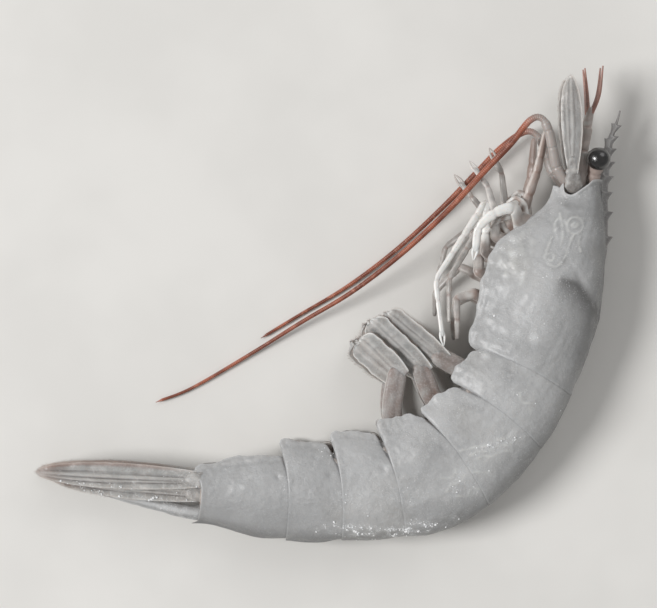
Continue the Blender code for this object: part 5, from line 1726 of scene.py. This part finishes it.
def bristlePiece():
    at, way, long = (np.concatenate(bristles[key]) for key in ("at", "way", "long"))
    keep = at[:, 2] + way[:, 2] * long * mm > bristles["lowest"] * mm
    mesh = lineMesh("hairRoots", [at[keep]], {"way": [way[keep]], "long": [long[keep] * mm]})
    return grow("bristles", mesh, bristleTree(), {
        "Thickness": bristles["thickness"] * mm, "Material": bristle,
    })


ringedWhip = whipTree()


def feelerPiece(sideName):
    route = np.array([feelers["inside"][sideName], *feelers[sideName]], float) + (*body["orbit"], 0)
    path = softLine(route, feelers["rows"]) * mm
    length = np.linalg.norm(np.diff(path, axis=0), axis=1).sum() / mm
    at = np.linspace(0, length, len(path))
    hidden = math.dist(route[0], route[1])
    stemLength = hidden + feelers["stemShare"] * (length - hidden)
    whip = np.interp(at, (stemLength, length), feelers["whipRadii"])
    # the stem's articles: a broad first one and shorter ones that narrow towards the whip
    seam = nearestOf(at, np.array(feelers["seams"]) * stemLength)
    deep, wide = feelers["waist"]
    stem = feelers["stemRadius"] * (1 - feelers["stemTaper"] * at / stemLength)
    stem = stem * (1 - deep * bell(seam, wide))
    join = ramp(at, stemLength - 0.8, stemLength + 0.4)
    radii = stem * (1 - join) + whip * join
    radii = radii * np.clip(0.3 + np.sqrt(np.clip(at, 0, 0.5) * 2), 0, 1)  # both ends are drawn in
    radii = radii * np.clip((length - at) / 1.5, 0.25, 1)
    mesh = lineMesh(f"feeler{sideName}", [path], {
        "thick": [radii * mm], "ringed": [join], "stem": [1 - ramp(at, stemLength - 0.5, stemLength + 6)],
    })
    name, values = f"antenna{sideName.capitalize()}", {**feelers["rings"], "Material": redHorn}
    return grow(name, mesh, ringedWhip, values, [f"antenna_{sideName}"])


def antennuleWhips():
    paths, thick, rows = [], [], antennule["whipRows"]
    for side in sides.values():
        for points in antennule["whips"].values():
            paths.append(place(*softLine(np.array(points) * (1, 1, side), rows).T))
            thick.append(np.interp(np.linspace(0, 1, rows), (0, 0.5, 1), antennule["whipRadii"]) * mm)
    ringed, stem = ([np.full(rows, share)] * len(paths) for share in (1, 0.35))
    mesh = lineMesh("whips", paths, {"thick": thick, "ringed": ringed, "stem": stem})
    values = {**feelers["smallRings"], "Material": redHorn}
    return grow("antennuleWhips", mesh, ringedWhip, values)


for sideName in sides:
    feelerPiece(sideName)
antennuleWhips()
print("feelers")
print("frost:", len(frostPiece().data.polygons), "faces")
print("bristles:", len(bristlePiece().data.polygons), "faces")


studio = {
    "floor": 0.6,  # half its width, in metres
    "lamps": {  # place in metres, size, power in watts
        "softWindow": ((-1.2, -0.05, 1.3), 0.7, 24.0),
        "fill": ((0.9, 1.1, 1.2), 1.2, 5.6),
    },
    "world": ("#c8c8c8", 0.6),
    "height": 0.62,  # of the camera
    "viewWidth": 0.137,  # of what it sees at the shrimp's middle
    "middle": 0.012,
}

half = studio["floor"]
floor = bpy.data.meshes.new("floor")
corners = [(-half, -half, 0), (half, -half, 0), (half, half, 0), (-half, half, 0)]
floor.from_pydata(corners, [], [(0, 1, 2, 3)])
# pale matte board
paleBoard = plainMaterial("paleBoard", "#dbd9d5", ("#e1dfdb", (40, 0.35, 0.65)), {"Roughness": 0.8})
floor.materials.append(paleBoard)
linked("floor", floor)

for name, (location, size, power) in studio["lamps"].items():
    lamp = bpy.data.lights.new(name, "AREA")
    lamp.shape = "DISK"
    lamp.size = size
    lamp.energy = power
    holder = linked(name, lamp)
    holder.location = location
    holder.rotation_euler = (-Vector(location)).to_track_quat("-Z", "Y").to_euler()

scene = bpy.context.scene
scene.world = bpy.data.worlds.new("studio")
scene.world.use_nodes = True
background = scene.world.node_tree.nodes["Background"]
background.inputs["Color"].default_value = toLinear(studio["world"][0])
background.inputs["Strength"].default_value = studio["world"][1]
scene.view_settings.view_transform = "Standard"

camera = linked("fromAbove", bpy.data.cameras.new("fromAbove"))
camera.data.sensor_width = 36
camera.data.clip_start = 0.01
camera.data.lens = camera.data.sensor_width * (studio["height"] - studio["middle"]) / studio["viewWidth"]
camera.location = (0, 0, studio["height"])
scene.camera = camera
print("stage, lights and camera")
